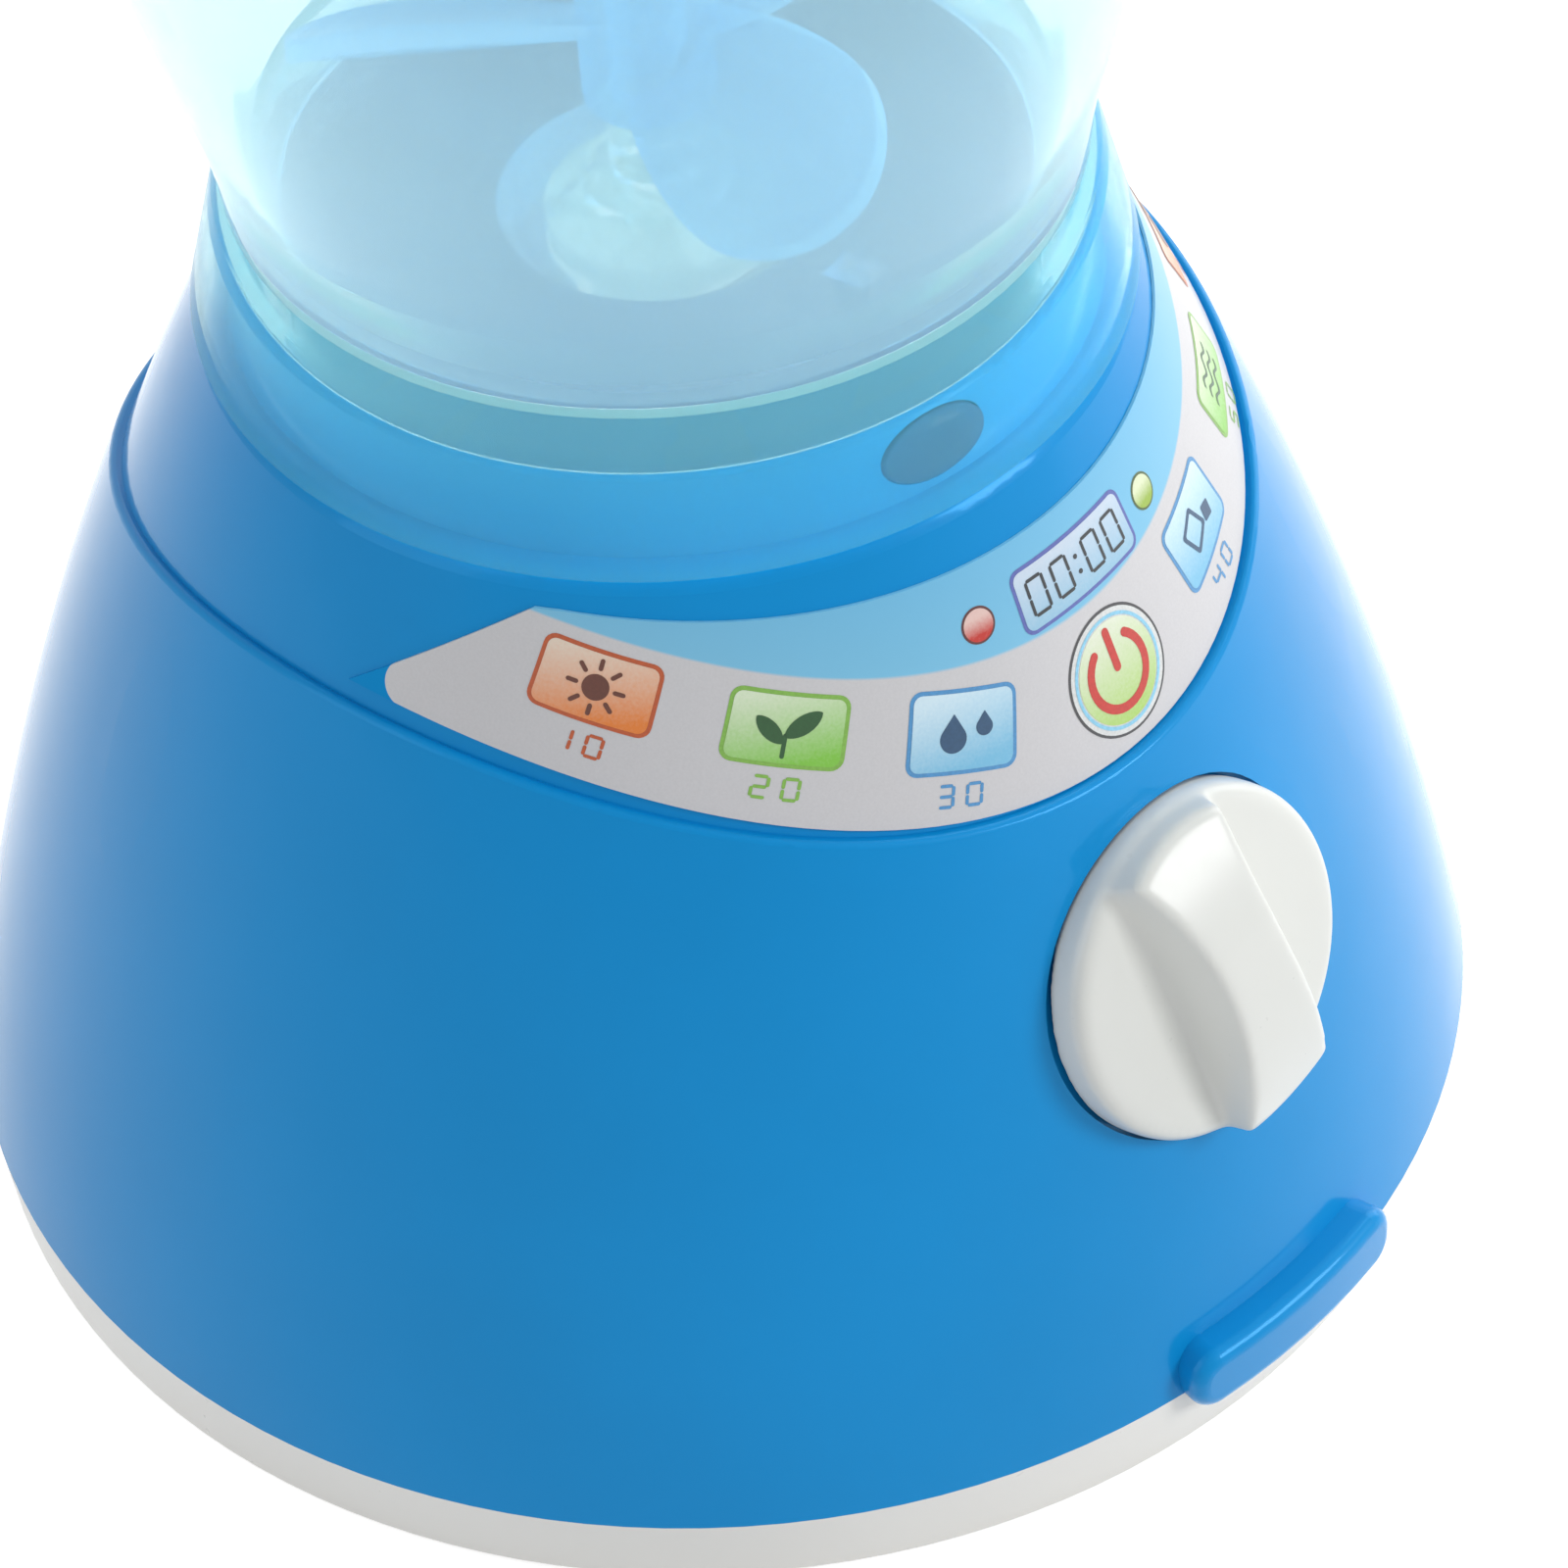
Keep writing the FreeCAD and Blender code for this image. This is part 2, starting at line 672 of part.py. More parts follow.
def build_motor():
    can = cylinder(motor_radius, bracket_height - motor_length, bracket_height)
    can = can.common(block(-motor_radius, motor_radius, -motor_flat, motor_flat, 0, deck_height))
    rear = bracket_height - motor_length
    cap = cylinder(motor_radius - 0.5, rear - motor_cap_length, rear)
    cap = cap.common(block(-motor_radius, motor_radius, 0.5 - motor_flat, motor_flat - 0.5, 0, deck_height))
    nose = cylinder(motor_nose_radius, bracket_height, bracket_height + motor_nose)
    motor = can.fuse([cap, nose])
    for x in (-6.0, 6.0):
        motor = motor.fuse(block(x - 1.2, x + 1.2, -0.25, 0.25, rear - motor_cap_length - 3.5, rear))
    motor = motor.cut(cylinder(motor_shaft_radius + run_clearance, rear, bracket_top))
    return moved_to(motor, 0, centre_distance, 0).removeSplitter()


def build_bracket():
    plate = block(-bracket_half_length, bracket_half_length, -bracket_half_width,
                  centre_distance + bracket_half_width, bracket_height, bracket_top)
    plate = plate.makeFillet(6.0, [e for e in plate.Edges if abs(e.tangentAt(e.FirstParameter).z) > 0.9])
    reach = motor_radius + cradle_gap
    flat = motor_flat + cradle_gap
    inner = cylinder(reach, bracket_height - cradle_depth, bracket_height).common(
        block(-reach, reach, -flat, flat, 0, deck_height))
    outer = cylinder(reach + cradle_wall, bracket_height - cradle_depth, bracket_height).common(
        block(-reach - cradle_wall, reach + cradle_wall, -flat - cradle_wall, flat + cradle_wall,
              0, deck_height))
    cradle = moved_to(outer.cut(inner), 0, centre_distance, 0)
    relief = cylinder(bush_flange_radius + 1.0, bracket_height - cradle_depth - 1, bracket_height)
    plate = plate.fuse(cradle.cut(relief))
    plate = plate.cut(cylinder(motor_nose_radius + cradle_gap, bracket_height - 1, bracket_top + 1,
                               0, centre_distance))
    plate = plate.cut(cylinder(bush_radius + seat_gap, bracket_height - 1, bracket_top + 1))
    for x in bracket_posts:
        plate = plate.cut(cylinder(bracket_screw_radius + screw_clearance, bracket_height - 1,
                                   bracket_top + 1, x))
    return plate.removeSplitter()


def build_bush(low, flange_on_top):
    """Flanged plain bearing for the drive shaft, in a plate of the bracket's thickness."""
    high = low + bracket_thickness
    bush = cylinder(bush_radius, low, high)
    flange_low = high if flange_on_top else low - bush_flange
    bush = bush.fuse(cylinder(bush_flange_radius, flange_low, flange_low + bush_flange))
    return bush.cut(cylinder(shaft_radius + run_clearance, low - 2, high + 2)).removeSplitter()


def dog_ring(low, high, phase):
    """Ring of coupling dogs, each a sector round the axis."""
    dogs = []
    for n in range(dog_count):
        start = phase + 360.0 * n / dog_count - dog_angle / 2
        dogs.append(turned((dog_inner_radius, low), (dog_disc_radius, low), (dog_disc_radius, high),
                           (dog_inner_radius, high), angle=dog_angle, from_phi=start))
    return dogs


def build_drive_coupling():
    low = well_floor + dog_end_gap
    disc = cylinder(dog_disc_radius, low, low + dog_disc_thickness)
    disc = disc.fuse(dog_ring(low + dog_disc_thickness / 2, low + dog_disc_thickness + dog_height, 0))
    return disc.cut(cylinder(shaft_radius + seat_gap, low - 1, boss_top)).removeSplitter()


def build_driven_coupling():
    high = jug_base - dog_end_gap
    disc = cylinder(dog_disc_radius, high - dog_disc_thickness, high)
    dogs = dog_ring(high - dog_disc_thickness - dog_height, high - dog_disc_thickness / 2,
                    180.0 / dog_count)
    disc = disc.fuse(dogs)
    return disc.cut(cylinder(spindle_journal_radius - 0.6 + seat_gap, deck_height, boss_top)).removeSplitter()


def build_drive_shaft():
    low = bracket_height - 1.5
    high = well_floor + dog_end_gap + dog_disc_thickness
    return cylinder(shaft_radius, low, high)


def build_drive_gear():
    gear = involute_gear(gear_teeth, gear_height, gear_width, 0.0)
    hub_low = bracket_top + bush_flange + dog_end_gap
    gear = gear.fuse(cylinder(gear_hub_radius, hub_low, hub_low + gear_hub_height))
    return gear.cut(cylinder(shaft_radius + seat_gap, hub_low - 1, deck_height)).removeSplitter()


def build_pinion():
    # A gap of the pinion faces the tooth of the gear that points at it
    gear_angle = math.pi / 2
    teeth_past = gear_angle / (2 * math.pi / gear_teeth)
    offset = (teeth_past - round(teeth_past)) * 2 * math.pi / gear_teeth
    phase = -math.pi / 2 + math.pi / pinion_teeth + offset * gear_teeth / pinion_teeth
    pinion = involute_gear(pinion_teeth, gear_height - 0.4, gear_width + 0.8, phase)
    pinion = pinion.cut(cylinder(motor_shaft_radius + seat_gap, gear_height - 1, gear_height + gear_width + 1))
    return moved_to(pinion, 0, centre_distance, 0)


def build_motor_shaft():
    low = bracket_height - motor_length / 2
    return cylinder(motor_shaft_radius, low, gear_height + gear_width + 1.2, 0, centre_distance)


def build_control_board():
    hx = board_half_length
    y0 = board_centre_y - board_half_width
    y1 = board_centre_y + board_half_width
    top = board_low + board_thickness
    board = block(-hx, hx, y0, y1, board_low, top)
    for x, y in board_posts:
        board = board.cut(cylinder(board_screw_radius + screw_clearance / 2, board_low - 1, top + 1, x, y))
    y = board_centre_y
    chip = block(-chip_half_length, chip_half_length, y - chip_half_width, y + chip_half_width,
                 top, top + chip_height)
    capacitor = cylinder(capacitor_radius, top, top + capacitor_height, capacitor_x, y + capacitor_y)
    socket = block(-socket_far, -socket_near, y - socket_front, y + socket_rear, top, top + socket_height)
    resistor = block(resistor_start, resistor_end, y - resistor_far, y - resistor_near,
                     top, top + resistor_height)
    return board.fuse([chip, capacitor, socket, resistor]).removeSplitter()


def build_board_screws():
    screws = []
    for x, y in board_posts:
        one = screw(board_screw_head_radius, 1.2, board_screw_radius, board_screw_length)
        one.rotate(V(0, 0, 0), V(1, 0, 0), 180)
        screws.append(moved_to(one, x, y, board_low + board_thickness + seat_gap))
    return Part.makeCompound(screws)


def build_bracket_screws():
    one = screw(bracket_screw_head_radius, 1.5, bracket_screw_radius, bracket_screw_length)
    return Part.makeCompound([moved_to(one, x, 0, bracket_height - seat_gap) for x in bracket_posts])


def build_case_screws():
    one = screw(case_screw_head_radius, case_screw_head, case_screw_radius, case_screw_length)
    return Part.makeCompound([moved_to(one, p.x, p.y, counterbore_depth - seat_gap) for p in case_posts])


def on_knob(shape, turn=0.0):
    """Shape of the knob's local frame, turned about the knob's axis and set on the side."""
    copy = shape.copy()
    copy.rotate(V(0, 0, 0), V(0, 0, 1), turn)
    return seated(copy, knob_phi, knob_centre_radius, knob_height, knob_lean)


def grip_section(along, foot, half_width):
    """Section across the grip, taller than its arch, with slightly hollow sides."""
    base = knob_rim - knob_rim_round
    height = grip_peak + knob_crown
    mid_x = half_width + 0.44 * (foot - half_width)
    mid_z = base + 0.5 * (height - base)

    def at(x, z):
        return V(x, along, z)

    edges = [
        Part.LineSegment(at(-foot, base), at(foot, base)).toShape(),
        Part.Arc(at(foot, base), at(mid_x, mid_z), at(half_width, height)).toShape(),
        Part.LineSegment(at(half_width, height), at(-half_width, height)).toShape(),
        Part.Arc(at(-half_width, height), at(-mid_x, mid_z), at(-foot, base)).toShape(),
    ]
    return Part.Wire(edges)


def build_knob():
    disc = turned((0, -knob_sink), (knob_radius, -knob_sink), (knob_radius, knob_rim - knob_rim_round),
                  ((knob_radius - 0.3 * knob_rim_round, knob_rim - 0.3 * knob_rim_round),
                   (knob_radius - knob_rim_round, knob_rim)),
                  ((knob_radius / 2, knob_rim + 0.8 * knob_crown), (0, knob_rim + knob_crown)))
    # Stations along the grip, with the half widths of its foot and of its top
    low = -grip_reach - 1.0
    high = grip_reach + 1.0
    middle = (grip_low_foot + grip_high_foot) / 2
    stations = ((low, grip_low_foot, grip_low_foot - 0.3), (0.5 * low, middle - 0.3, grip_waist + 0.6),
                (0.1 * high, middle, grip_waist), (0.6 * high, middle + 0.3, grip_waist + 0.1),
                (high, grip_high_foot, grip_waist + 1.2))
    grip = Part.makeLoft([grip_section(*s) for s in stations], True, False)
    arch = Part.makeCylinder(grip_arch, 4 * knob_radius, V(-2 * knob_radius, 0, grip_peak - grip_arch),
                             V(1, 0, 0))
    grip = grip.common(arch).common(cylinder(grip_reach, 0, 2 * grip_peak))
    top = [e for e in grip.Edges if min(e.valueAt(e.FirstParameter).z, e.valueAt(e.LastParameter).z)
           > knob_rim + 1.0 and abs(e.valueAt(e.FirstParameter).z - e.valueAt(e.LastParameter).z) < 1.0]
    grip = grip.makeFillet(grip_edge_round, top)
    knob = disc.fuse(grip)
    hollow = cylinder(knob_radius - knob_skin, -knob_sink - 1, knob_rim - knob_skin)
    hub = cylinder(knob_hub_radius, -knob_sink - 2, knob_rim)
    knob = knob.cut(hollow.cut(hub))
    nut_room = -knob_pocket_floor + nut_thickness + dog_end_gap
    knob = knob.cut(cylinder(knob_radius - knob_skin, -knob_sink - 2, nut_room))
    knob = knob.cut(cylinder(spindle_radius + seat_gap, -knob_sink - 2, spindle_into_knob + dog_end_gap))
    return on_knob(knob.removeSplitter(), knob_rest_turn)


def build_switch_spindle():
    low = -knob_pocket_floor - pad_thickness - switch_depth + 1.0
    spindle = cylinder(spindle_radius, low, spindle_into_knob)
    return on_knob(spindle, knob_rest_turn)


def build_rotary_switch():
    top = -knob_pocket_floor - pad_thickness - seat_gap
    body = block(-switch_half, switch_half, -switch_half, switch_half, top - switch_depth, top)
    body = body.makeFillet(1.0, [e for e in body.Edges if abs(e.tangentAt(e.FirstParameter).z) > 0.9])
    body = body.fuse(cylinder(switch_neck_radius, top - 1, -knob_pocket_floor + nut_thickness))
    for x in (-3.5, 0.0, 3.5):
        body = body.fuse(block(x - 0.8, x + 0.8, -0.25, 0.25, top - switch_depth - 3.5, top - switch_depth + 1))
    bore_low = -knob_pocket_floor - pad_thickness - switch_depth + 1.0 - dog_end_gap
    body = body.cut(cylinder(spindle_radius + run_clearance, bore_low, 5))
    return on_knob(body.removeSplitter())


def build_switch_nut():
    corner = nut_flats / math.sqrt(3)
    points = [V(corner * math.cos(math.radians(60 * k)), corner * math.sin(math.radians(60 * k)), 0)
              for k in range(6)]
    nut = Part.Face(Part.makePolygon(points + [points[0]])).extrude(V(0, 0, nut_thickness))
    nut = nut.cut(cylinder(switch_neck_radius + seat_gap, -1, nut_thickness + 1))
    return on_knob(moved_to(nut, 0, 0, -knob_pocket_floor + seat_gap))


def build_light_lens():
    dome = Part.makeSphere(1.0)
    grow = FreeCAD.Matrix()
    grow.scale(light_half_width, light_half_height, light_bulge)
    dome = dome.transformGeometry(grow)
    room = 2 * light_half_width
    dome = dome.common(block(-room, room, -room, room, 0, room))
    back = -boss_wall - light_flange
    stem = oval_prism(light_half_width, light_half_height, back, 0)
    flange = oval_prism(light_half_width + light_flange_lip, light_half_height + light_flange_lip,
                        back - light_flange, back)
    lens = seated(stem.fuse(dome), light_phi, light_radius, light_height, boss_lean)
    flange = seated(flange, light_phi, light_radius, light_height, boss_lean)
    # The flange is trimmed to lie freely inside the hollow boss
    inside = boss_wall + light_flange_gap
    ceiling = boss_top - boss_wall
    room = Part.makeCone(boss_foot_radius - inside, boss_top_radius - inside,
                         ceiling - cavity_top, V(0, 0, cavity_top))
    flange = flange.common(room).common(cylinder(boss_foot_radius, 0, ceiling - light_flange_gap))
    return lens.fuse(flange).removeSplitter()


def build_light_led():
    face = -boss_wall - 2 * light_flange - seat_gap
    bulb = cylinder(led_radius, face - led_length, face - led_radius)
    bulb = bulb.fuse(Part.makeSphere(led_radius, V(0, 0, face - led_radius)))
    bulb = bulb.fuse(cylinder(led_radius + 0.4, face - led_length, face - led_length + 0.8))
    board = block(-3.5, 3.5, -3.5, 2.5, face - led_length - led_board, face - led_length)
    return seated(bulb.fuse(board), light_phi, light_radius, light_height, boss_lean)


def build_panel():
    low = rim_low
    high = deck_height - deck_edge_round
    inner = band_recess - panel_glue
    outer = band_recess - panel_glue - panel_thickness
    film = turned((side_radius(low, inner), low), (side_radius(low, outer), low),
                  side_arc(outer, low, high), (side_radius(high, inner), high),
                  ((side_radius((low + high) / 2, inner), (low + high) / 2), (side_radius(low, inner), low)))
    ends = 4 * seam_radius
    film = film.common(Part.makeCylinder(panel_low_curve, ends,
                                         V(0, -ends / 2, panel_low + panel_low_curve), V(0, 1, 0)))
    film = film.cut(Part.makeCylinder(panel_high_curve, ends,
                                      V(0, -ends / 2, panel_high + panel_high_curve), V(0, 1, 0)))
    # Slanted planes end the film at both sides
    top = deck_height + deck_edge_round
    slope = (panel_corner_y - panel_tip_y) / (panel_corner_height - panel_tip_height)
    far_y = panel_tip_y + slope * (top - panel_tip_height)
    near_y = panel_tip_y + slope * (0 - panel_tip_height)
    front = Part.Face(Part.makePolygon([V(-seam_radius, near_y, 0), V(-seam_radius, far_y, top),
                                        V(-seam_radius, -ends, top), V(-seam_radius, -ends, 0),
                                        V(-seam_radius, near_y, 0)]))
    return film.common(front.extrude(V(2 * seam_radius, 0, 0)))


def bowl_radius(z):
    """Outer radius of the bowl's cone at a height."""
    low = jug_base + neck_height
    return waist_radius + (mouth_radius - waist_radius) * (z - low) / (jug_rim - low)


def bowl_outer(gap=0.0):
    """Solid with the bowl's whole outer form, grown by a gap."""
    waist = jug_base + neck_height
    shoulder = jug_base + collar_top_height
    blend = waist + 4.0
    return turned((0, jug_base), (spigot_radius + gap, jug_base), (spigot_radius + gap, shoulder + gap),
                  (neck_radius + gap, shoulder + gap),
                  ((waist_radius - 0.2 + gap, waist - 1.4), (bowl_radius(blend) + gap, blend)),
                  (mouth_radius + gap, jug_rim), (0, jug_rim))


def spout_cone(radius, reach, low):
    """Cone that widens upwards on the left side, for the pouring lip."""
    lean_reach = bowl_radius(jug_rim) - spout_radius + reach
    start = bowl_radius(low) - spout_radius / 2
    axis = V(-(lean_reach - start), 0, jug_rim + 1 - low)
    return Part.makeCone(0.5, radius, axis.Length, V(-start, 0, low), axis)


def build_bowl():
    bead = turned((mouth_radius - bowl_wall / 2, jug_rim - mouth_bead_height),
                  (bowl_radius(jug_rim - mouth_bead_height) + mouth_bead, jug_rim - mouth_bead_height),
                  (mouth_radius + mouth_bead, jug_rim), (mouth_radius - bowl_wall / 2, jug_rim))
    low = jug_rim - spout_height
    spout = spout_cone(spout_radius, spout_reach, low)
    body = bowl_outer().fuse([bead, spout])
    body = body.cut(cylinder(3 * mouth_radius, jug_rim, jug_rim + spout_height))
    waist = jug_base + neck_height
    turn_in = bowl_floor_round * (1 - math.sqrt(0.5))
    foot = spigot_radius - bowl_wall + 0.6
    inside = turned((0, jug_floor), (foot - bowl_floor_round, jug_floor),
                    ((foot - turn_in, jug_floor + turn_in), (foot, jug_floor + bowl_floor_round)),
                    (bowl_radius(waist) - bowl_wall, waist),
                    (bowl_radius(jug_rim + 1) - bowl_wall, jug_rim + 1), (0, jug_rim + 1))
    inside = inside.fuse(spout_cone(spout_radius - bowl_wall, spout_reach, low + bowl_wall))
    body = body.cut(inside)
    ring = cylinder(floor_ring_radius, jug_floor - 1, jug_floor + floor_ring_height)
    ring = ring.makeFillet(0.5, edges_on_circle(ring, floor_ring_radius, jug_floor + floor_ring_height))
    body = body.fuse(ring)
    return body.cut(cylinder(spindle_journal_radius + run_clearance, jug_base - 1, jug_floor + 5)).removeSplitter()


def build_collar():
    low = deck_height + collar_lift
    shoulder = jug_base + collar_shoulder_height
    top = jug_base + collar_top_height
    seat = spigot_radius + collar_seat_gap
    ledge = jug_base + 0.4
    skirt_slope = (collar_foot_radius - collar_shoulder_radius) / (shoulder - low)
    inner_at_ledge = collar_foot_radius - skirt_slope * (ledge - low) - collar_wall
    return turned((collar_foot_radius - collar_wall, low), (collar_foot_radius, low),
                  (collar_shoulder_radius, shoulder), (neck_radius, top), (seat, top),
                  (seat, ledge), (inner_at_ledge, ledge))


def build_handle():
    half = handle_width / 2
    low = jug_base + handle_low
    high = jug_base + handle_high
    out = handle_reach
    corner = handle_corner
    turn_in = corner * (1 - math.sqrt(0.5))
    loop = outline((neck_radius - 4, low), (out - corner, low),
                   ((out - turn_in, low + turn_in), (out, low + corner)),
                   (out, high - corner),
                   ((out - turn_in, high - turn_in), (out - corner, high)),
                   (neck_radius - 4, high))
    t = handle_thickness
    inner_corner = corner - t + 2.0
    inner_turn = inner_corner * (1 - math.sqrt(0.5))
    gap = outline((neck_radius - 6, low + t), (out - t - inner_corner, low + t),
                  ((out - t - inner_turn, low + t + inner_turn), (out - t, low + t + inner_corner)),
                  (out - t, high - t - inner_corner),
                  ((out - t - inner_turn, high - t - inner_turn), (out - t - inner_corner, high - t)),
                  (neck_radius - 6, high - t))
    body = Part.Face(loop).extrude(V(0, handle_width, 0))
    body = body.cut(Part.Face(gap).extrude(V(0, handle_width, 0)))
    body.translate(V(0, -half, 0))
    rims = [e for e in body.Edges
            if all(abs(abs(v.Y) - half) < 1e-4 for v in e.Vertexes)
            and abs(e.Vertexes[0].Y - e.Vertexes[-1].Y) < 1e-4
            and max(v.X for v in e.Vertexes) > neck_radius - 3.5]
    body = body.makeFillet(handle_edge_round, rims)
    return body.cut(bowl_outer(handle_gap)).removeSplitter()


def build_paddle():
    low = jug_base + paddle_hub_low
    high = low + paddle_hub_height
    hub = cylinder(paddle_hub_radius, low, high)
    hub = hub.makeFillet(2.5, edges_on_circle(hub, paddle_hub_radius, high))
    hub = hub.makeFillet(0.6, edges_on_circle(hub, paddle_hub_radius, low))
    # One blade along +X: a rounded petal cut out of a thin curved sheet, then pitched
    tip = paddle_reach
    wide = paddle_half_width
    root = paddle_root_half_width
    start = paddle_hub_radius * 0.5
    petal = Part.Wire([
        Part.LineSegment(V(start, -root, 0), V(start, root, 0)).toShape(),
        Part.Arc(V(start, root, 0), V(tip * 0.42, wide * 0.86, 0), V(tip - wide, wide, 0)).toShape(),
        Part.Arc(V(tip - wide, wide, 0), V(tip, 0, 0), V(tip - wide, -wide, 0)).toShape(),
        Part.Arc(V(tip - wide, -wide, 0), V(tip * 0.42, -wide * 0.86, 0), V(start, -root, 0)).toShape(),
    ])
    prism = Part.Face(petal).extrude(V(0, 0, 2 * wide))
    prism.translate(V(0, 0, -wide))
    sheet = Part.makeCylinder(paddle_curve, 2 * tip, V(0, 0, paddle_curve), V(1, 0, 0)).cut(
        Part.makeCylinder(paddle_curve - paddle_thickness, 2 * tip, V(0, 0, paddle_curve), V(1, 0, 0)))
    blade = prism.common(sheet)
    blade.rotate(V(0, 0, 0), V(1, 0, 0), paddle_pitch)
    blade.translate(V(0, 0, (low + high) / 2 - 2.0))
    blades = []
    for n in range(paddle_count):
        one = blade.copy()
        one.rotate(V(0, 0, 0), V(0, 0, 1), paddle_phi - 90.0 + 360.0 * n / paddle_count)
        blades.append(one)
    body = hub.fuse(blades)
    return body.cut(cylinder(spindle_top_radius + seat_gap, low - hub_cut_depth, high - hub_cap)).removeSplitter()


def build_paddle_spindle():
    hub_low = jug_base + paddle_hub_low
    post_low = jug_floor + floor_ring_height + dog_end_gap / 2
    coupling_top = jug_base - dog_end_gap
    post = cylinder(spindle_post_radius, post_low, hub_low - seat_gap)
    journal = cylinder(spindle_journal_radius, coupling_top + seat_gap, post_low)
    tail = cylinder(spindle_journal_radius - 0.6, coupling_top - dog_disc_thickness, coupling_top + 1)
    head = cylinder(spindle_top_radius, hub_low - 1, hub_low + paddle_hub_height - 3.0 - seat_gap)
    return post.fuse([journal, tail, head]).removeSplitter()


def build_lid():
    seat = lid_seat
    flange_top = seat + lid_flange_height
    dome_top = flange_top + lid_dome_height
    collar_top = flange_top + lid_collar_height
    hole = lid_collar_radius - lid_collar_wall
    t = lid_thickness
    plug_top = bowl_radius(seat) - bowl_wall - lid_plug_gap
    plug_low = bowl_radius(seat - lid_plug_depth) - bowl_wall - lid_plug_gap
    mid_r = (lid_dome_radius + lid_collar_radius) / 2
    edge = 1.0
    return turned(
        (plug_low, seat - lid_plug_depth), (plug_top, seat), (lid_flange_radius, seat),
        (lid_flange_radius, flange_top - edge),
        ((lid_flange_radius - edge * 0.3, flange_top - edge * 0.3), (lid_flange_radius - edge, flange_top)),
        (lid_dome_radius, flange_top),
        ((mid_r, flange_top + 0.68 * lid_dome_height), (lid_collar_radius, dome_top)),
        (lid_collar_radius, collar_top), (hole, collar_top), (hole, dome_top - t),
        ((mid_r - 1, flange_top + 0.68 * lid_dome_height - t), (lid_dome_radius - 2, flange_top - t)),
        (plug_top - lid_plug_wall, flange_top - t), (plug_low - lid_plug_wall, seat - lid_plug_depth))


def build_lid_cap():
    collar_top = lid_seat + lid_flange_height + lid_collar_height
    plug = lid_collar_radius - lid_collar_wall - cap_gap
    top = collar_top + cap_rise
    skin = cap_skin
    return turned(
        (plug - skin, collar_top - cap_plug_depth), (plug, collar_top - cap_plug_depth), (plug, collar_top),
        (cap_radius, collar_top), (cap_radius, collar_top + cap_rise * 0.45),
        ((cap_radius * 0.82, top - 0.12 * cap_rise), (cap_radius * 0.5, top)),
        (0, top), (0, top - skin), (cap_radius * 0.5, top - skin),
        ((plug - skin, collar_top + 1.0), (plug - skin, collar_top)))


save("base_housing", build_base_housing())
save("bottom_cover", build_bottom_cover())
save("battery_door", build_battery_door())
save("battery_door_screw", build_door_screw())
save("batteries", build_cells())
save("battery_contacts", build_contacts())
save("battery_springs", Part.makeCompound([build_spring(side) for side in (-1, 1)]))
save("case_screws", build_case_screws())
save("motor", build_motor())
save("motor_bracket", build_bracket())
save("bracket_screws", build_bracket_screws())
save("lower_bush", build_bush(bracket_height, True))
save("upper_bush", build_bush(well_base, False))
save("motor_shaft", build_motor_shaft())
save("motor_pinion", build_pinion())
save("drive_gear", build_drive_gear())
save("drive_shaft", build_drive_shaft())
save("drive_coupling", build_drive_coupling())
save("control_board", build_control_board())
save("board_screws", build_board_screws())
save("knob", build_knob())
save("switch_spindle", build_switch_spindle())
save("rotary_switch", build_rotary_switch())
save("switch_nut", build_switch_nut())
save("light_lens", build_light_lens())
save("light_led", build_light_led())
save("panel_sticker", build_panel())
save("jug_bowl", build_bowl())
save("jug_collar", build_collar())
save("jug_handle", build_handle())
save("paddle", build_paddle())
save("paddle_spindle", build_paddle_spindle())
save("driven_coupling", build_driven_coupling())
save("lid", build_lid())
save("lid_cap", build_lid_cap())
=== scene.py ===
import math

import bmesh
import bpy
from mathutils import Matrix, Vector


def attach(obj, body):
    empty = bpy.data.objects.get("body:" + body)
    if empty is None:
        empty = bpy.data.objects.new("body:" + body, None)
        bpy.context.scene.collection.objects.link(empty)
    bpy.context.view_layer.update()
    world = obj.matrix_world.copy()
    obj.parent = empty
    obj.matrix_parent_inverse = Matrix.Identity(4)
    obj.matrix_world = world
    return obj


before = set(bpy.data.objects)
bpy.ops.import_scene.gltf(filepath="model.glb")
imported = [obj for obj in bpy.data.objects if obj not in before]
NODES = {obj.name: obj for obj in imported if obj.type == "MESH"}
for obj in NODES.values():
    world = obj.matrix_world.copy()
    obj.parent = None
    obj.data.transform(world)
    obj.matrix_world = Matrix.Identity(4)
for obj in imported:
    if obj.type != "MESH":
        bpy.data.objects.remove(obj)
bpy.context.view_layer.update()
MM = 0.001

# Sizes shared with the model, in millimetres
SEAM_Z = 6.7
SEAM_R = 60.0
SIDE_CURVE = 310.0
SIDE_LEAN = math.radians(11.6)
SIDE_R0 = SEAM_R - SIDE_CURVE * math.cos(SIDE_LEAN)
SIDE_Z0 = SEAM_Z - SIDE_CURVE * math.sin(SIDE_LEAN)
FILM_INSET = 0.63
PRINT_LIFT = 0.02          # each layer of ink lies this far over the one below it
INK_CELL = 1.2             # ink is cut into cells of this size, so that it bends with the side
INK_CUT_SHIFT = 0.013      # keeps the cuts clear of the outlines' own corners
ZONE_LOW = 68.3            # lowest point of the line between the film's two zones
ZONE_RADIUS = 60.5
TIP_PHI = 77.45             # centre of the round that ends the film's pale print
TIP_Z = 70.35
TIP_ROUND = 1.85
TIP_HALF = math.radians(21.8)   # half the angle between the film's two edges there
APEX_PHI = 84.5             # where the two edges meet
APEX_Z = 69.25

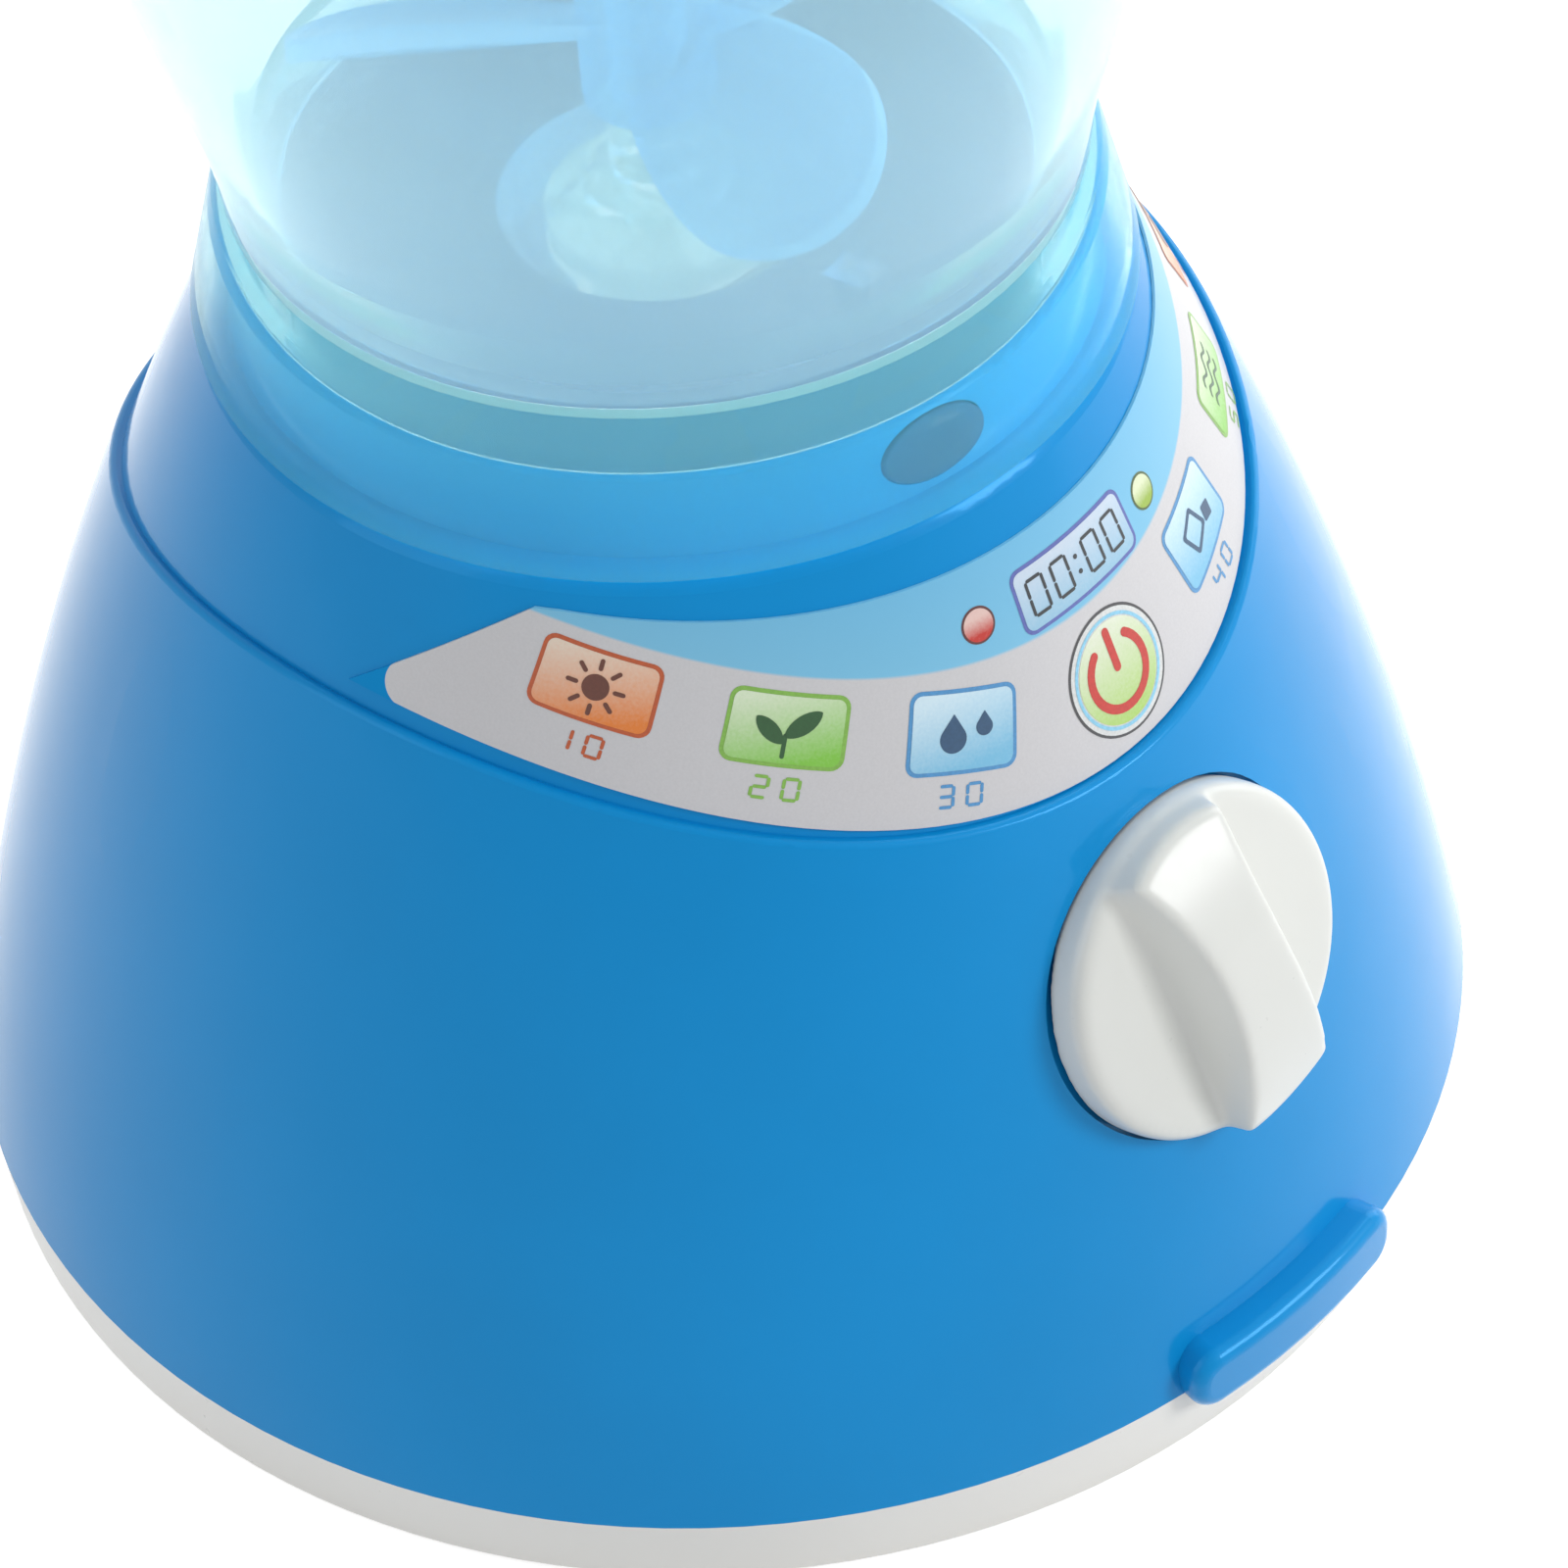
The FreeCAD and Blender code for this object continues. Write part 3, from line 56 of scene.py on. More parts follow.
# Colours and grain that several materials share
SHELL_BLUE = (0.002, 0.252, 0.60)
SHELL_TINT = (0.12, 0.55, 1.0, 1.0)
SHELL_ROUGH = 0.1
SHELL_SHINE = 0.3
COLOUR_GRAIN = 35.0        # noise scales, in waves to the metre
WAVE_GRAIN = 60.0
GLOSS_GRAIN = 900.0
METAL_GRAIN = 700.0
CLEAR_GRAIN = 45.0
PALE_GRAIN = 5200.0
INK_GRAIN = 4200.0
FILM_GRAIN = 700.0
INK_ROUGH = 0.35
INK_COAT = {"Coat_Weight": 0.2, "Coat_Roughness": 0.15}
ZONE_BLUR = 0.00012        # half width of the step between the film's zones, in metres
ZONE_DEPTH = 0.0085


def side_radius(z, inset=0.0):
    return SIDE_R0 + math.sqrt((SIDE_CURVE - inset) ** 2 - (z - SIDE_Z0) ** 2)


def on_film(phi, z):
    """Point of the film's face at an angle from the front and a height, in metres."""
    turn = math.radians(phi)
    reach = side_radius(z, FILM_INSET)
    return Vector((reach * math.sin(turn), -reach * math.cos(turn), z)) * MM


# Materials
def new_material(name):
    m = bpy.data.materials.new(name)
    m.use_nodes = True
    tree = m.node_tree
    tree.nodes.clear()
    out = tree.nodes.new("ShaderNodeOutputMaterial")
    return m, tree, out


def add(tree, kind, **sockets):
    node = tree.nodes.new(kind)
    for key, value in sockets.items():
        node.inputs[key.replace("_", " ")].default_value = value
    return node


def principled(tree, out, color, rough, **extra):
    shader = tree.nodes.new("ShaderNodeBsdfPrincipled")
    shader.inputs["Base Color"].default_value = (*color, 1)
    shader.inputs["Roughness"].default_value = rough
    for key, value in extra.items():
        shader.inputs[key.replace("_", " ")].default_value = value
    tree.links.new(shader.outputs[0], out.inputs["Surface"])
    return shader


def position(tree):
    coord = tree.nodes.new("ShaderNodeTexCoord")
    return coord.outputs["Object"]


def noise(tree, scale, detail=3.0, rough=0.5):
    tex = tree.nodes.new("ShaderNodeTexNoise")
    tex.inputs["Scale"].default_value = scale
    tex.inputs["Detail"].default_value = detail
    tex.inputs["Roughness"].default_value = rough
    tree.links.new(position(tree), tex.inputs["Vector"])
    return tex.outputs[0]


def ramp(tree, value, stops):
    node = tree.nodes.new("ShaderNodeValToRGB")
    points = node.color_ramp.elements
    while len(points) < len(stops):
        points.new(0.5)
    for point, (where, color) in zip(points, stops):
        point.position = where
        point.color = (*color, 1)
    tree.links.new(value, node.inputs[0])
    return node.outputs[0]


def bump(tree, shader, height, strength, distance):
    node = add(tree, "ShaderNodeBump", Strength=strength, Distance=distance)
    tree.links.new(height, node.inputs["Height"])
    tree.links.new(node.outputs[0], shader.inputs["Normal"])


def plastic(name, color, rough, wave=0.02, grain=0.0, shift=0.06, **extra):
    """Moulded plastic: slow colour and gloss variation, a faint moulding wave and optional fine grain."""
    m, tree, out = new_material(name)
    shader = principled(tree, out, color, rough, **extra)
    slow = noise(tree, COLOUR_GRAIN, 4.0)
    low = tuple(c * (1 - shift) for c in color)
    high = tuple(min(1, c * (1 + shift)) for c in color)
    tree.links.new(ramp(tree, slow, [(0.3, low), (0.7, high)]), shader.inputs["Base Color"])
    fine = noise(tree, GLOSS_GRAIN, 2.0)
    gloss = tree.nodes.new("ShaderNodeMapRange")
    gloss.inputs["To Min"].default_value = rough * 0.8
    gloss.inputs["To Max"].default_value = rough * 1.25
    tree.links.new(fine, gloss.inputs["Value"])
    tree.links.new(gloss.outputs[0], shader.inputs["Roughness"])
    if grain:
        bump(tree, shader, fine, grain, 0.0002)
    else:
        bump(tree, shader, noise(tree, WAVE_GRAIN, 1.0), wave, 0.0006)
    return m


def metal(name, color, rough, stretch=(1, 1, 1)):
    """Plated or turned metal with fine directional marks."""
    m, tree, out = new_material(name)
    shader = principled(tree, out, color, rough, Metallic=1.0)
    scale = tree.nodes.new("ShaderNodeMapping")
    scale.inputs["Scale"].default_value = stretch
    tree.links.new(position(tree), scale.inputs["Vector"])
    tex = tree.nodes.new("ShaderNodeTexNoise")
    tex.inputs["Scale"].default_value = METAL_GRAIN
    tex.inputs["Detail"].default_value = 4.0
    tree.links.new(scale.outputs[0], tex.inputs["Vector"])
    low = tuple(c * 0.8 for c in color)
    marks = ramp(tree, tex.outputs[0], [(0.35, low), (0.65, color)])
    tree.links.new(marks, shader.inputs["Base Color"])
    bump(tree, shader, tex.outputs[0], 0.08, 0.0001)
    return m


def clear(name, color, rough, ior, haze, haze_color):
    """Clear moulded plastic with some haze. Shadow rays pass tinted, so that what stands behind it is lit."""
    m, tree, out = new_material(name)
    shader = tree.nodes.new("ShaderNodeBsdfPrincipled")
    shader.inputs["Base Color"].default_value = (*color, 1)
    shader.inputs["Roughness"].default_value = rough
    shader.inputs["IOR"].default_value = ior
    shader.inputs["Transmission Weight"].default_value = 1.0
    bump(tree, shader, noise(tree, CLEAR_GRAIN, 1.0), 0.03, 0.0006)
    light = tree.nodes.new("ShaderNodeLightPath")
    through = tree.nodes.new("ShaderNodeBsdfTransparent")
    through.inputs["Color"].default_value = (*[c ** 0.5 for c in color], 1)
    milk = tree.nodes.new("ShaderNodeMixShader")
    milk.inputs[0].default_value = 0.5
    for slot, kind in ((1, "ShaderNodeBsdfTranslucent"), (2, "ShaderNodeBsdfDiffuse")):
        side = tree.nodes.new(kind)
        side.inputs["Color"].default_value = (*haze_color, 1)
        tree.links.new(side.outputs[0], milk.inputs[slot])
    mixed = tree.nodes.new("ShaderNodeMixShader")
    mixed.inputs[0].default_value = haze
    tree.links.new(shader.outputs[0], mixed.inputs[1])
    tree.links.new(milk.outputs[0], mixed.inputs[2])
    final = tree.nodes.new("ShaderNodeMixShader")
    tree.links.new(light.outputs["Is Shadow Ray"], final.inputs[0])
    tree.links.new(mixed.outputs[0], final.inputs[1])
    tree.links.new(through.outputs[0], final.inputs[2])
    tree.links.new(final.outputs[0], out.inputs["Surface"])
    return m


def math_node(tree, op, a, b=None):
    node = tree.nodes.new("ShaderNodeMath")
    node.operation = op
    for socket, value in ((0, a), (1, b)):
        if value is None:
            continue
        if isinstance(value, (int, float)):
            node.inputs[socket].default_value = value
        else:
            tree.links.new(value, node.inputs[socket])
    return node.outputs[0]


def panel_material():
    """Printed film: a sky-blue zone over a pale grey one, and shell blue past its rounded ends."""
    m, tree, out = new_material("panel_film")
    shader = principled(tree, out, (0.5, 0.5, 0.5), 0.32, Coat_Weight=0.25, Coat_Roughness=0.15)
    parts = tree.nodes.new("ShaderNodeSeparateXYZ")
    tree.links.new(position(tree), parts.inputs[0])
    x, z = parts.outputs[0], parts.outputs[2]
    rise = math_node(tree, "SQRT", math_node(tree, "SUBTRACT", (ZONE_RADIUS * MM) ** 2,
                                             math_node(tree, "MULTIPLY", x, x)))
    over = math_node(tree, "ADD", math_node(tree, "SUBTRACT", z, (ZONE_LOW + ZONE_RADIUS) * MM), rise)
    side = tree.nodes.new("ShaderNodeMapRange")
    side.inputs["From Min"].default_value = -ZONE_BLUR
    side.inputs["From Max"].default_value = ZONE_BLUR
    tree.links.new(over, side.inputs["Value"])
    grade = tree.nodes.new("ShaderNodeMapRange")
    grade.inputs["From Max"].default_value = ZONE_DEPTH
    tree.links.new(over, grade.inputs["Value"])
    sky = ramp(tree, grade.outputs[0], [(0.0, (0.17, 0.48, 0.69)), (1.0, (0.13, 0.44, 0.68))])
    dots = tree.nodes.new("ShaderNodeTexNoise")
    dots.inputs["Scale"].default_value = PALE_GRAIN
    tree.links.new(position(tree), dots.inputs["Vector"])
    pale = ramp(tree, dots.outputs[0], [(0.3, (0.55, 0.54, 0.55)), (0.7, (0.58, 0.57, 0.58))])
    mix = tree.nodes.new("ShaderNodeMix")
    mix.data_type = "RGBA"
    tree.links.new(side.outputs[0], mix.inputs["Factor"])
    tree.links.new(pale, mix.inputs[6])
    tree.links.new(sky, mix.inputs[7])
    tip = tree.nodes.new("ShaderNodeCombineXYZ")
    tree.links.new(math_node(tree, "ABSOLUTE", x), tip.inputs[0])
    tree.links.new(parts.outputs[1], tip.inputs[1])
    tree.links.new(z, tip.inputs[2])
    away = tree.nodes.new("ShaderNodeVectorMath")
    away.operation = "DISTANCE"
    tree.links.new(tip.outputs[0], away.inputs[0])
    centre = on_film(TIP_PHI, TIP_Z)
    outward = (on_film(APEX_PHI, APEX_Z) - centre).normalized()
    away.inputs[1].default_value = centre
    along = tree.nodes.new("ShaderNodeVectorMath")
    along.operation = "DOT_PRODUCT"
    tree.links.new(tip.outputs[0], along.inputs[0])
    along.inputs[1].default_value = outward
    chord = centre.dot(outward) + TIP_ROUND * math.sin(TIP_HALF) * MM
    past = math_node(tree, "MULTIPLY", math_node(tree, "GREATER_THAN", away.outputs["Value"], TIP_ROUND * MM),
                     math_node(tree, "GREATER_THAN", along.outputs["Value"], chord))
    tree.links.new(mix.outputs[2], shader.inputs["Base Color"])
    shell = tree.nodes.new("ShaderNodeBsdfPrincipled")
    shell.inputs["Base Color"].default_value = (*SHELL_BLUE, 1)
    shell.inputs["Roughness"].default_value = SHELL_ROUGH
    shell.inputs["Specular IOR Level"].default_value = SHELL_SHINE
    shell.inputs["Specular Tint"].default_value = SHELL_TINT
    ends = tree.nodes.new("ShaderNodeMixShader")
    tree.links.new(past, ends.inputs[0])
    tree.links.new(shader.outputs[0], ends.inputs[1])
    tree.links.new(shell.outputs[0], ends.inputs[2])
    tree.links.new(ends.outputs[0], out.inputs["Surface"])
    bump(tree, shader, noise(tree, FILM_GRAIN, 2.0), 0.04, 0.0001)
    return m


def ink(name, color, top=None, low=0.0, high=1.0):
    """Printed ink, plain or graded up the panel from color to top, with the print's fine mottling."""
    m, tree, out = new_material(name)
    shader = principled(tree, out, color, INK_ROUGH, **INK_COAT)
    tex = tree.nodes.new("ShaderNodeTexNoise")
    tex.inputs["Scale"].default_value = INK_GRAIN
    tree.links.new(position(tree), tex.inputs["Vector"])
    if top is None:
        dark = tuple(c * 0.86 for c in color)
        spots = ramp(tree, tex.outputs[0], [(0.35, dark), (0.65, color)])
        tree.links.new(spots, shader.inputs["Base Color"])
        return m
    parts = tree.nodes.new("ShaderNodeSeparateXYZ")
    tree.links.new(position(tree), parts.inputs[0])
    grade = tree.nodes.new("ShaderNodeMapRange")
    grade.inputs["From Min"].default_value = low * MM
    grade.inputs["From Max"].default_value = high * MM
    tree.links.new(parts.outputs[2], grade.inputs["Value"])
    mottle = math_node(tree, "MULTIPLY", math_node(tree, "SUBTRACT", tex.outputs[0], 0.5), 0.35)
    tree.links.new(ramp(tree, math_node(tree, "ADD", grade.outputs[0], mottle), [(0.0, color), (1.0, top)]),
                   shader.inputs["Base Color"])
    return m


def paint(node, material):
    obj = NODES[node]
    if not obj.data.materials:
        obj.data.materials.append(material)
    for k in range(len(obj.material_slots)):
        obj.material_slots[k].material = material


blue = plastic("shell_blue", SHELL_BLUE, SHELL_ROUGH, wave=0.03, shift=0.04, Specular_IOR_Level=SHELL_SHINE,
               Specular_Tint=SHELL_TINT, Coat_Weight=0.22, Coat_Roughness=0.4)
lid_blue = plastic("lid_blue", SHELL_BLUE, 0.14, wave=0.03, shift=0.04, Specular_IOR_Level=0.3)
white = plastic("shell_white", (0.80, 0.785, 0.745), 0.3, wave=0.03, shift=0.02)
knob_white = plastic("knob_white", (0.68, 0.685, 0.65), 0.3, wave=0.03, shift=0.02,
                     Coat_Weight=0.12, Coat_Roughness=0.22, Specular_IOR_Level=0.35)
handle_white = plastic("handle_white", (0.76, 0.76, 0.75), 0.2, wave=0.03, shift=0.02)
steel = metal("plated_steel", (0.62, 0.62, 0.63), 0.28)
shaft = metal("ground_steel", (0.6, 0.6, 0.62), 0.2, (4, 4, 0.3))
brass = metal("turned_brass", (0.72, 0.5, 0.2), 0.28, (1, 1, 6))
nickel = metal("nickel_plate", (0.66, 0.64, 0.6), 0.25)
jacket = plastic("cell_jacket", (0.035, 0.035, 0.04), 0.3)
inner = plastic("inner_plastic", (0.6, 0.6, 0.58), 0.45, grain=0.1)
natural = plastic("natural_plastic", (0.74, 0.73, 0.69), 0.4, grain=0.08)
board = plastic("board_lacquer", (0.02, 0.19, 0.07), 0.3, grain=0.2)
black = plastic("switch_black", (0.03, 0.03, 0.032), 0.4, grain=0.2)
red_lamp = plastic("lamp_red", (0.42, 0.05, 0.05), 0.15)
bowl_clear = clear("bowl_clear", (0.96, 0.995, 1.0), rough=0.02, ior=1.2, haze=0.28,
                   haze_color=(0.66, 0.92, 0.96))
collar_clear = clear("collar_aqua", (0.82, 0.96, 0.97), rough=0.12, ior=1.12, haze=0.2,
                     haze_color=(0.22, 0.66, 0.72))
lens_clear = clear("lens_clear", (0.80, 0.86, 0.95), rough=0.05, ior=1.45, haze=0.75,
                   haze_color=(0.13, 0.24, 0.50))
paddle_blue = clear("paddle_blue", (0.60, 0.84, 0.97), rough=0.12, ior=1.1, haze=0.45,
                    haze_color=(0.25, 0.62, 0.92))
spindle_pale = clear("spindle_pale", (0.90, 0.98, 0.98), rough=0.1, ior=1.2, haze=0.2,
                     haze_color=(0.7, 0.92, 0.95))
film = panel_material()

for name, material in {
    "base_housing": blue, "bottom_cover": white, "battery_door": white,
    "battery_door_screw": steel, "batteries": jacket, "battery_contacts": nickel,
    "battery_springs": nickel, "case_screws": steel, "motor": steel, "motor_bracket": inner,
    "bracket_screws": steel, "lower_bush": brass, "upper_bush": brass, "motor_shaft": shaft,
    "motor_pinion": brass, "drive_gear": natural, "drive_shaft": shaft, "drive_coupling": natural,
    "control_board": board, "board_screws": steel, "knob": knob_white, "switch_spindle": shaft,
    "rotary_switch": black, "switch_nut": steel, "light_lens": lens_clear, "light_led": red_lamp,
    "panel_sticker": film, "jug_bowl": bowl_clear, "jug_collar": collar_clear,
    "jug_handle": handle_white, "paddle": paddle_blue, "paddle_spindle": spindle_pale,
    "driven_coupling": spindle_pale, "lid": lid_blue, "lid_cap": knob_white,
}.items():
    paint(name, material)


def soften(node, cell, rounds):
    """Rounds the small edges of a moulded piece, as its mould does."""
    remesh = NODES[node].modifiers.new("even", "REMESH")
    remesh.mode = "VOXEL"
    remesh.voxel_size = cell
    remesh.use_smooth_shade = True
    smooth = NODES[node].modifiers.new("soft", "SMOOTH")
    smooth.factor = 0.5
    smooth.iterations = rounds


soften("knob", 0.0002, 50)


def rounded_box(half_w, half_h, radius, steps=5):
    """Outline of a box with rounded corners."""
    points = []
    for n, (sx, sy) in enumerate(((1, 1), (-1, 1), (-1, -1), (1, -1))):
        for k in range(steps + 1):
            turn = math.pi / 2 * (n + k / steps)
            points.append((sx * (half_w - radius) + radius * math.cos(turn),
                           sy * (half_h - radius) + radius * math.sin(turn)))
    return points


def oval(half_w, half_h, x=0.0, y=0.0, steps=40):
    return [(x + half_w * math.cos(2 * math.pi * k / steps), y + half_h * math.sin(2 * math.pi * k / steps))
            for k in range(steps)]


def arc_band(radius, width, start, end, steps=30):
    """Shapes of a band round a centre between two angles in degrees, with round ends."""
    def at(r, degrees):
        return (r * math.cos(math.radians(degrees)), r * math.sin(math.radians(degrees)))
    inner, outer = radius - width / 2, radius + width / 2
    shapes = []
    for k in range(steps):
        one, two = start + (end - start) * k / steps, start + (end - start) * (k + 1) / steps
        shapes.append([at(outer, one), at(outer, two), at(inner, two), at(inner, one)])
    for degrees, way in ((start, -1), (end, 1)):
        cap = []
        for k in range(9):
            cx, cy = at(radius, degrees)
            dx, dy = at(width / 2, degrees + way * 180 * k / 8)
            cap.append((cx + dx, cy + dy))
        shapes.append(cap)
    return shapes


def stroke(x0, y0, x1, y1, width):
    """Straight stroke with round ends."""
    turn = math.atan2(y1 - y0, x1 - x0)
    points = []
    for x, y, start in ((x1, y1, turn - math.pi / 2), (x0, y0, turn + math.pi / 2)):
        for k in range(7):
            bend = start + math.pi * k / 6
            points.append((x + width / 2 * math.cos(bend), y + width / 2 * math.sin(bend)))
    return points


def moved(points, x=0.0, y=0.0, turn=0.0, size=1.0):
    c, s = size * math.cos(math.radians(turn)), size * math.sin(math.radians(turn))
    return [(x + c * px - s * py, y + s * px + c * py) for px, py in points]


def ring(outer, inner):
    """Closed band between two outlines with as many points each."""
    return (outer, inner)


def print_mesh(name, shapes, phi, z, tilt=0.0, layer=1):
    """Ink shapes laid on the film: flat outlines, cut into small cells and wrapped onto the side."""
    bm = bmesh.new()
    for shape in shapes:
        if isinstance(shape, tuple):
            outer = [bm.verts.new((x, y, 0)) for x, y in shape[0]]
            inside = [bm.verts.new((x, y, 0)) for x, y in shape[1]]
            count = len(outer)
            for k in range(count):
                n = (k + 1) % count
                bm.faces.new((outer[k], outer[n], inside[n], inside[k]))
        else:
            bm.faces.new([bm.verts.new((x, y, 0)) for x, y in shape])
    bmesh.ops.triangulate(bm, faces=bm.faces[:])
    reach = max(max(abs(v.co.x), abs(v.co.y)) for v in bm.verts)
    count = int(reach / INK_CELL) + 1
    for axis in ((1, 0, 0), (0, 1, 0)):
        for k in range(-count, count + 1):
            bmesh.ops.bisect_plane(bm, geom=bm.verts[:] + bm.edges[:] + bm.faces[:], plane_no=axis,
                                   plane_co=Vector(axis) * (k * INK_CELL + INK_CUT_SHIFT))
    c, s = math.cos(math.radians(tilt)), math.sin(math.radians(tilt))
    slope = math.cos(math.asin((z - SIDE_Z0) / SIDE_CURVE))
    for v in bm.verts:
        x, y = c * v.co.x - s * v.co.y, s * v.co.x + c * v.co.y
        height = z + slope * y
        radius = side_radius(height, FILM_INSET - PRINT_LIFT * layer)
        turn = math.radians(phi) + x / side_radius(z, FILM_INSET)
        v.co = Vector((radius * math.sin(turn), -radius * math.cos(turn), height)) * MM
    bm.normal_update()
    for face in bm.faces:
        middle = face.calc_center_median()
        if face.normal.dot(Vector((middle.x, middle.y, 0))) < 0:
            face.normal_flip()
        face.smooth = True
    mesh = bpy.data.meshes.new(name)
    bm.to_mesh(mesh)
    bm.free()
    return mesh


def add_print(name, shapes, material, phi, z, tilt=0.0, layer=1):
    obj = bpy.data.objects.new(name, print_mesh(name, shapes, phi, z, tilt, layer))
    bpy.context.scene.collection.objects.link(obj)
    obj.data.materials.append(material)
    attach(obj, "base")


def sun_disc():
    """Round disc with eight short rays."""
    rays = []
    for k in range(8):
        c, d = math.cos(math.pi * k / 4), math.sin(math.pi * k / 4)
        rays.append(stroke(1.45 * c, 1.45 * d, 2.05 * c, 2.05 * d, 0.34))
    return [oval(1.0, 1.0)] + rays


def leaf():
    """Two leaves on one stem."""
    blade = [(1.7 * math.cos(t), 0.75 * math.sin(t) * abs(math.sin(t)) ** 0.4)
             for t in [2 * math.pi * k / 24 for k in range(24)]]
    return [moved(blade, 1.2, 0.5, 40, 0.95), moved(blade, -1.2, -0.1, 140, 0.85),
            stroke(0.0, -2.0, 0.0, -0.4, 0.32)]


def drop_pair():
    """A large drop and a small one."""
    def drop(x, y, size):
        belly = []
        for k in range(21):
            turn = math.radians(30 - 12 * k)
            belly.append((0.85 * math.cos(turn), 0.85 * math.sin(turn)))
        return moved([(0.0, 1.5)] + belly, x, y, 0, size)
    return [drop(-0.8, -0.5, 1.25), drop(1.7, 0.2, 0.8)]


def ice_cube():
    """Tilted open square with a small filled one beside it."""
    outer = moved(rounded_box(1.35, 1.35, 0.3), -0.6, 0, 20)
    inside = moved(rounded_box(1.0, 1.0, 0.2), -0.6, 0, 20)
    return [ring(outer, inside), moved(rounded_box(0.65, 0.65, 0.15), 1.9, -0.6, -15)]


def level_waves():
    """Three level waves."""
    bands = []
    for y in (-1.2, 0.0, 1.2):
        line = [(-2.2 + 4.4 * k / 20, y + 0.35 * math.sin(2 * math.pi * k / 10)) for k in range(21)]
        bands.append([(x, v + 0.17) for x, v in line] + [(x, v - 0.17) for x, v in reversed(line)])
    return bands


def round_fruit():
    """Round fruit with a short stalk and a leaf."""
    blade = [(0.8 * math.cos(t), 0.35 * math.sin(t)) for t in [2 * math.pi * k / 16 for k in range(16)]]
    return [oval(1.45, 1.35, 0, -0.5), stroke(0.0, 0.9, 0.15, 1.5, 0.28), moved(blade, 0.95, 1.6, 25)]


SEGMENTS = {"a": (0, 1, 1, 0), "b": (1, 0.5, 0, 1), "c": (1, -0.5, 0, 1), "d": (0, -1, 1, 0),
            "e": (-1, -0.5, 0, 1), "f": (-1, 0.5, 0, 1), "g": (0, 0, 1, 0)}
LIT = {"0": "abcdef", "1": "bc", "2": "abged", "3": "abgcd", "4": "fgbc", "5": "afgcd", "6": "afgedc"}


def digit(char, x, y, half_w, half_h, width):
    """Seven-segment digit, of strokes that stop short of the corners."""
    strokes = []
    for key in LIT[char]:
        cx, cy, across, upright = SEGMENTS[key]
        px, py = x + cx * half_w, y + cy * half_h
        dx = across * (half_w - 0.75 * width)
        dy = upright * (half_h / 2 - 0.6 * width)
        strokes.append(stroke(px - dx, py - dy, px + dx, py + dy, width))
    return strokes


def key_print(name, phi, z, tilt, half_w, half_h, dark, fill, mark, number):
    """One printed key: a dark edge, a graded fill, a plain pictogram and a number under it."""
    edge, corner = 0.32, 0.95
    inside = rounded_box(half_w - edge, half_h - edge, 0.68)
    add_print(name + "_edge", [rounded_box(half_w, half_h, corner)], dark, phi, z, tilt, 1)
    add_print(name + "_fill", [inside], fill, phi, z, tilt, 2)
    add_print(name + "_mark", mark, ink_mark[name[:-2]], phi, z, tilt, 3)
    drop = -half_h - 1.6
    figures = digit(number, -1.1, drop, 0.55, 0.8, 0.26) + digit("0", 1.1, drop, 0.55, 0.8, 0.26)
    add_print(name + "_number", figures, dark, phi, z, tilt, 1)


ink_dark = {"orange": ink("ink_rust", (0.50, 0.09, 0.02)),
            "green": ink("ink_lime", (0.22, 0.46, 0.07)),
            "blue": ink("ink_blue", (0.07, 0.28, 0.56))}
ink_mark = {"orange": ink("ink_brown", (0.12, 0.03, 0.015)),
            "green": ink("ink_forest", (0.015, 0.085, 0.02)),
            "blue": ink("ink_navy", (0.02, 0.075, 0.16))}

# Each key: name, angle from the front, height, tilt, half width, half height, pictogram
KEYS = (("orange_1", -56.4, 72.7, -16.0, 4.55, 2.85, sun_disc()),
        ("green_2", -36.7, 68.9, -17.3, 4.5, 2.85, leaf()),
        ("blue_3", -18.5, 65.1, -17.0, 4.4, 3.2, drop_pair()),
        ("blue_4", 20.0, 65.3, 9.8, 4.4, 3.2, ice_cube()),
        ("green_5", 39.7, 67.8, 11.5, 4.5, 2.85, level_waves()),
        ("orange_6", 57.5, 72.2, 15.0, 4.55, 2.85, round_fruit()))

# Colour at the foot and at the top of a key's fill
FILLS = {"orange": ((0.74, 0.20, 0.025), (0.76, 0.62, 0.50)),
         "green": ((0.20, 0.52, 0.05), (0.66, 0.76, 0.55)),
         "blue": ((0.17, 0.47, 0.68), (0.60, 0.76, 0.84))}
for key, phi, z, tilt, half_w, half_h, mark in KEYS:
    tint = key[:-2]
    fill = ink("ink_fill_" + key, FILLS[tint][0], FILLS[tint][1], z - 2.6, z + 2.9)
    key_print(key, phi, z, tilt, half_w, half_h, ink_dark[tint], fill, mark, key[-1])

# Display with a row of plain digits, and a dot on either side
DISPLAY_PHI = 0.9
DISPLAY_Z = 71.15
add_print("display_edge", [rounded_box(6.3, 2.62, 0.95)], ink("ink_violet", (0.10, 0.13, 0.42)),
          DISPLAY_PHI, DISPLAY_Z, 0.0, 1)
add_print("display_fill", [rounded_box(6.0, 2.32, 0.7)],
          ink("ink_display", (0.27, 0.50, 0.66), (0.56, 0.64, 0.74), 68.9, 73.4),
          DISPLAY_PHI, DISPLAY_Z, 0.0, 2)
figures = []
for x in (-4.25, -1.75, 1.75, 4.25):
    figures += digit("0", x, 0.0, 0.78, 1.38, 0.27)
figures += [oval(0.2, 0.2, 0, 0.62, 12), oval(0.2, 0.2, 0, -0.62, 12)]
add_print("display_digits", figures, ink("ink_black", (0.02, 0.025, 0.03)), DISPLAY_PHI, DISPLAY_Z, 0.0, 3)
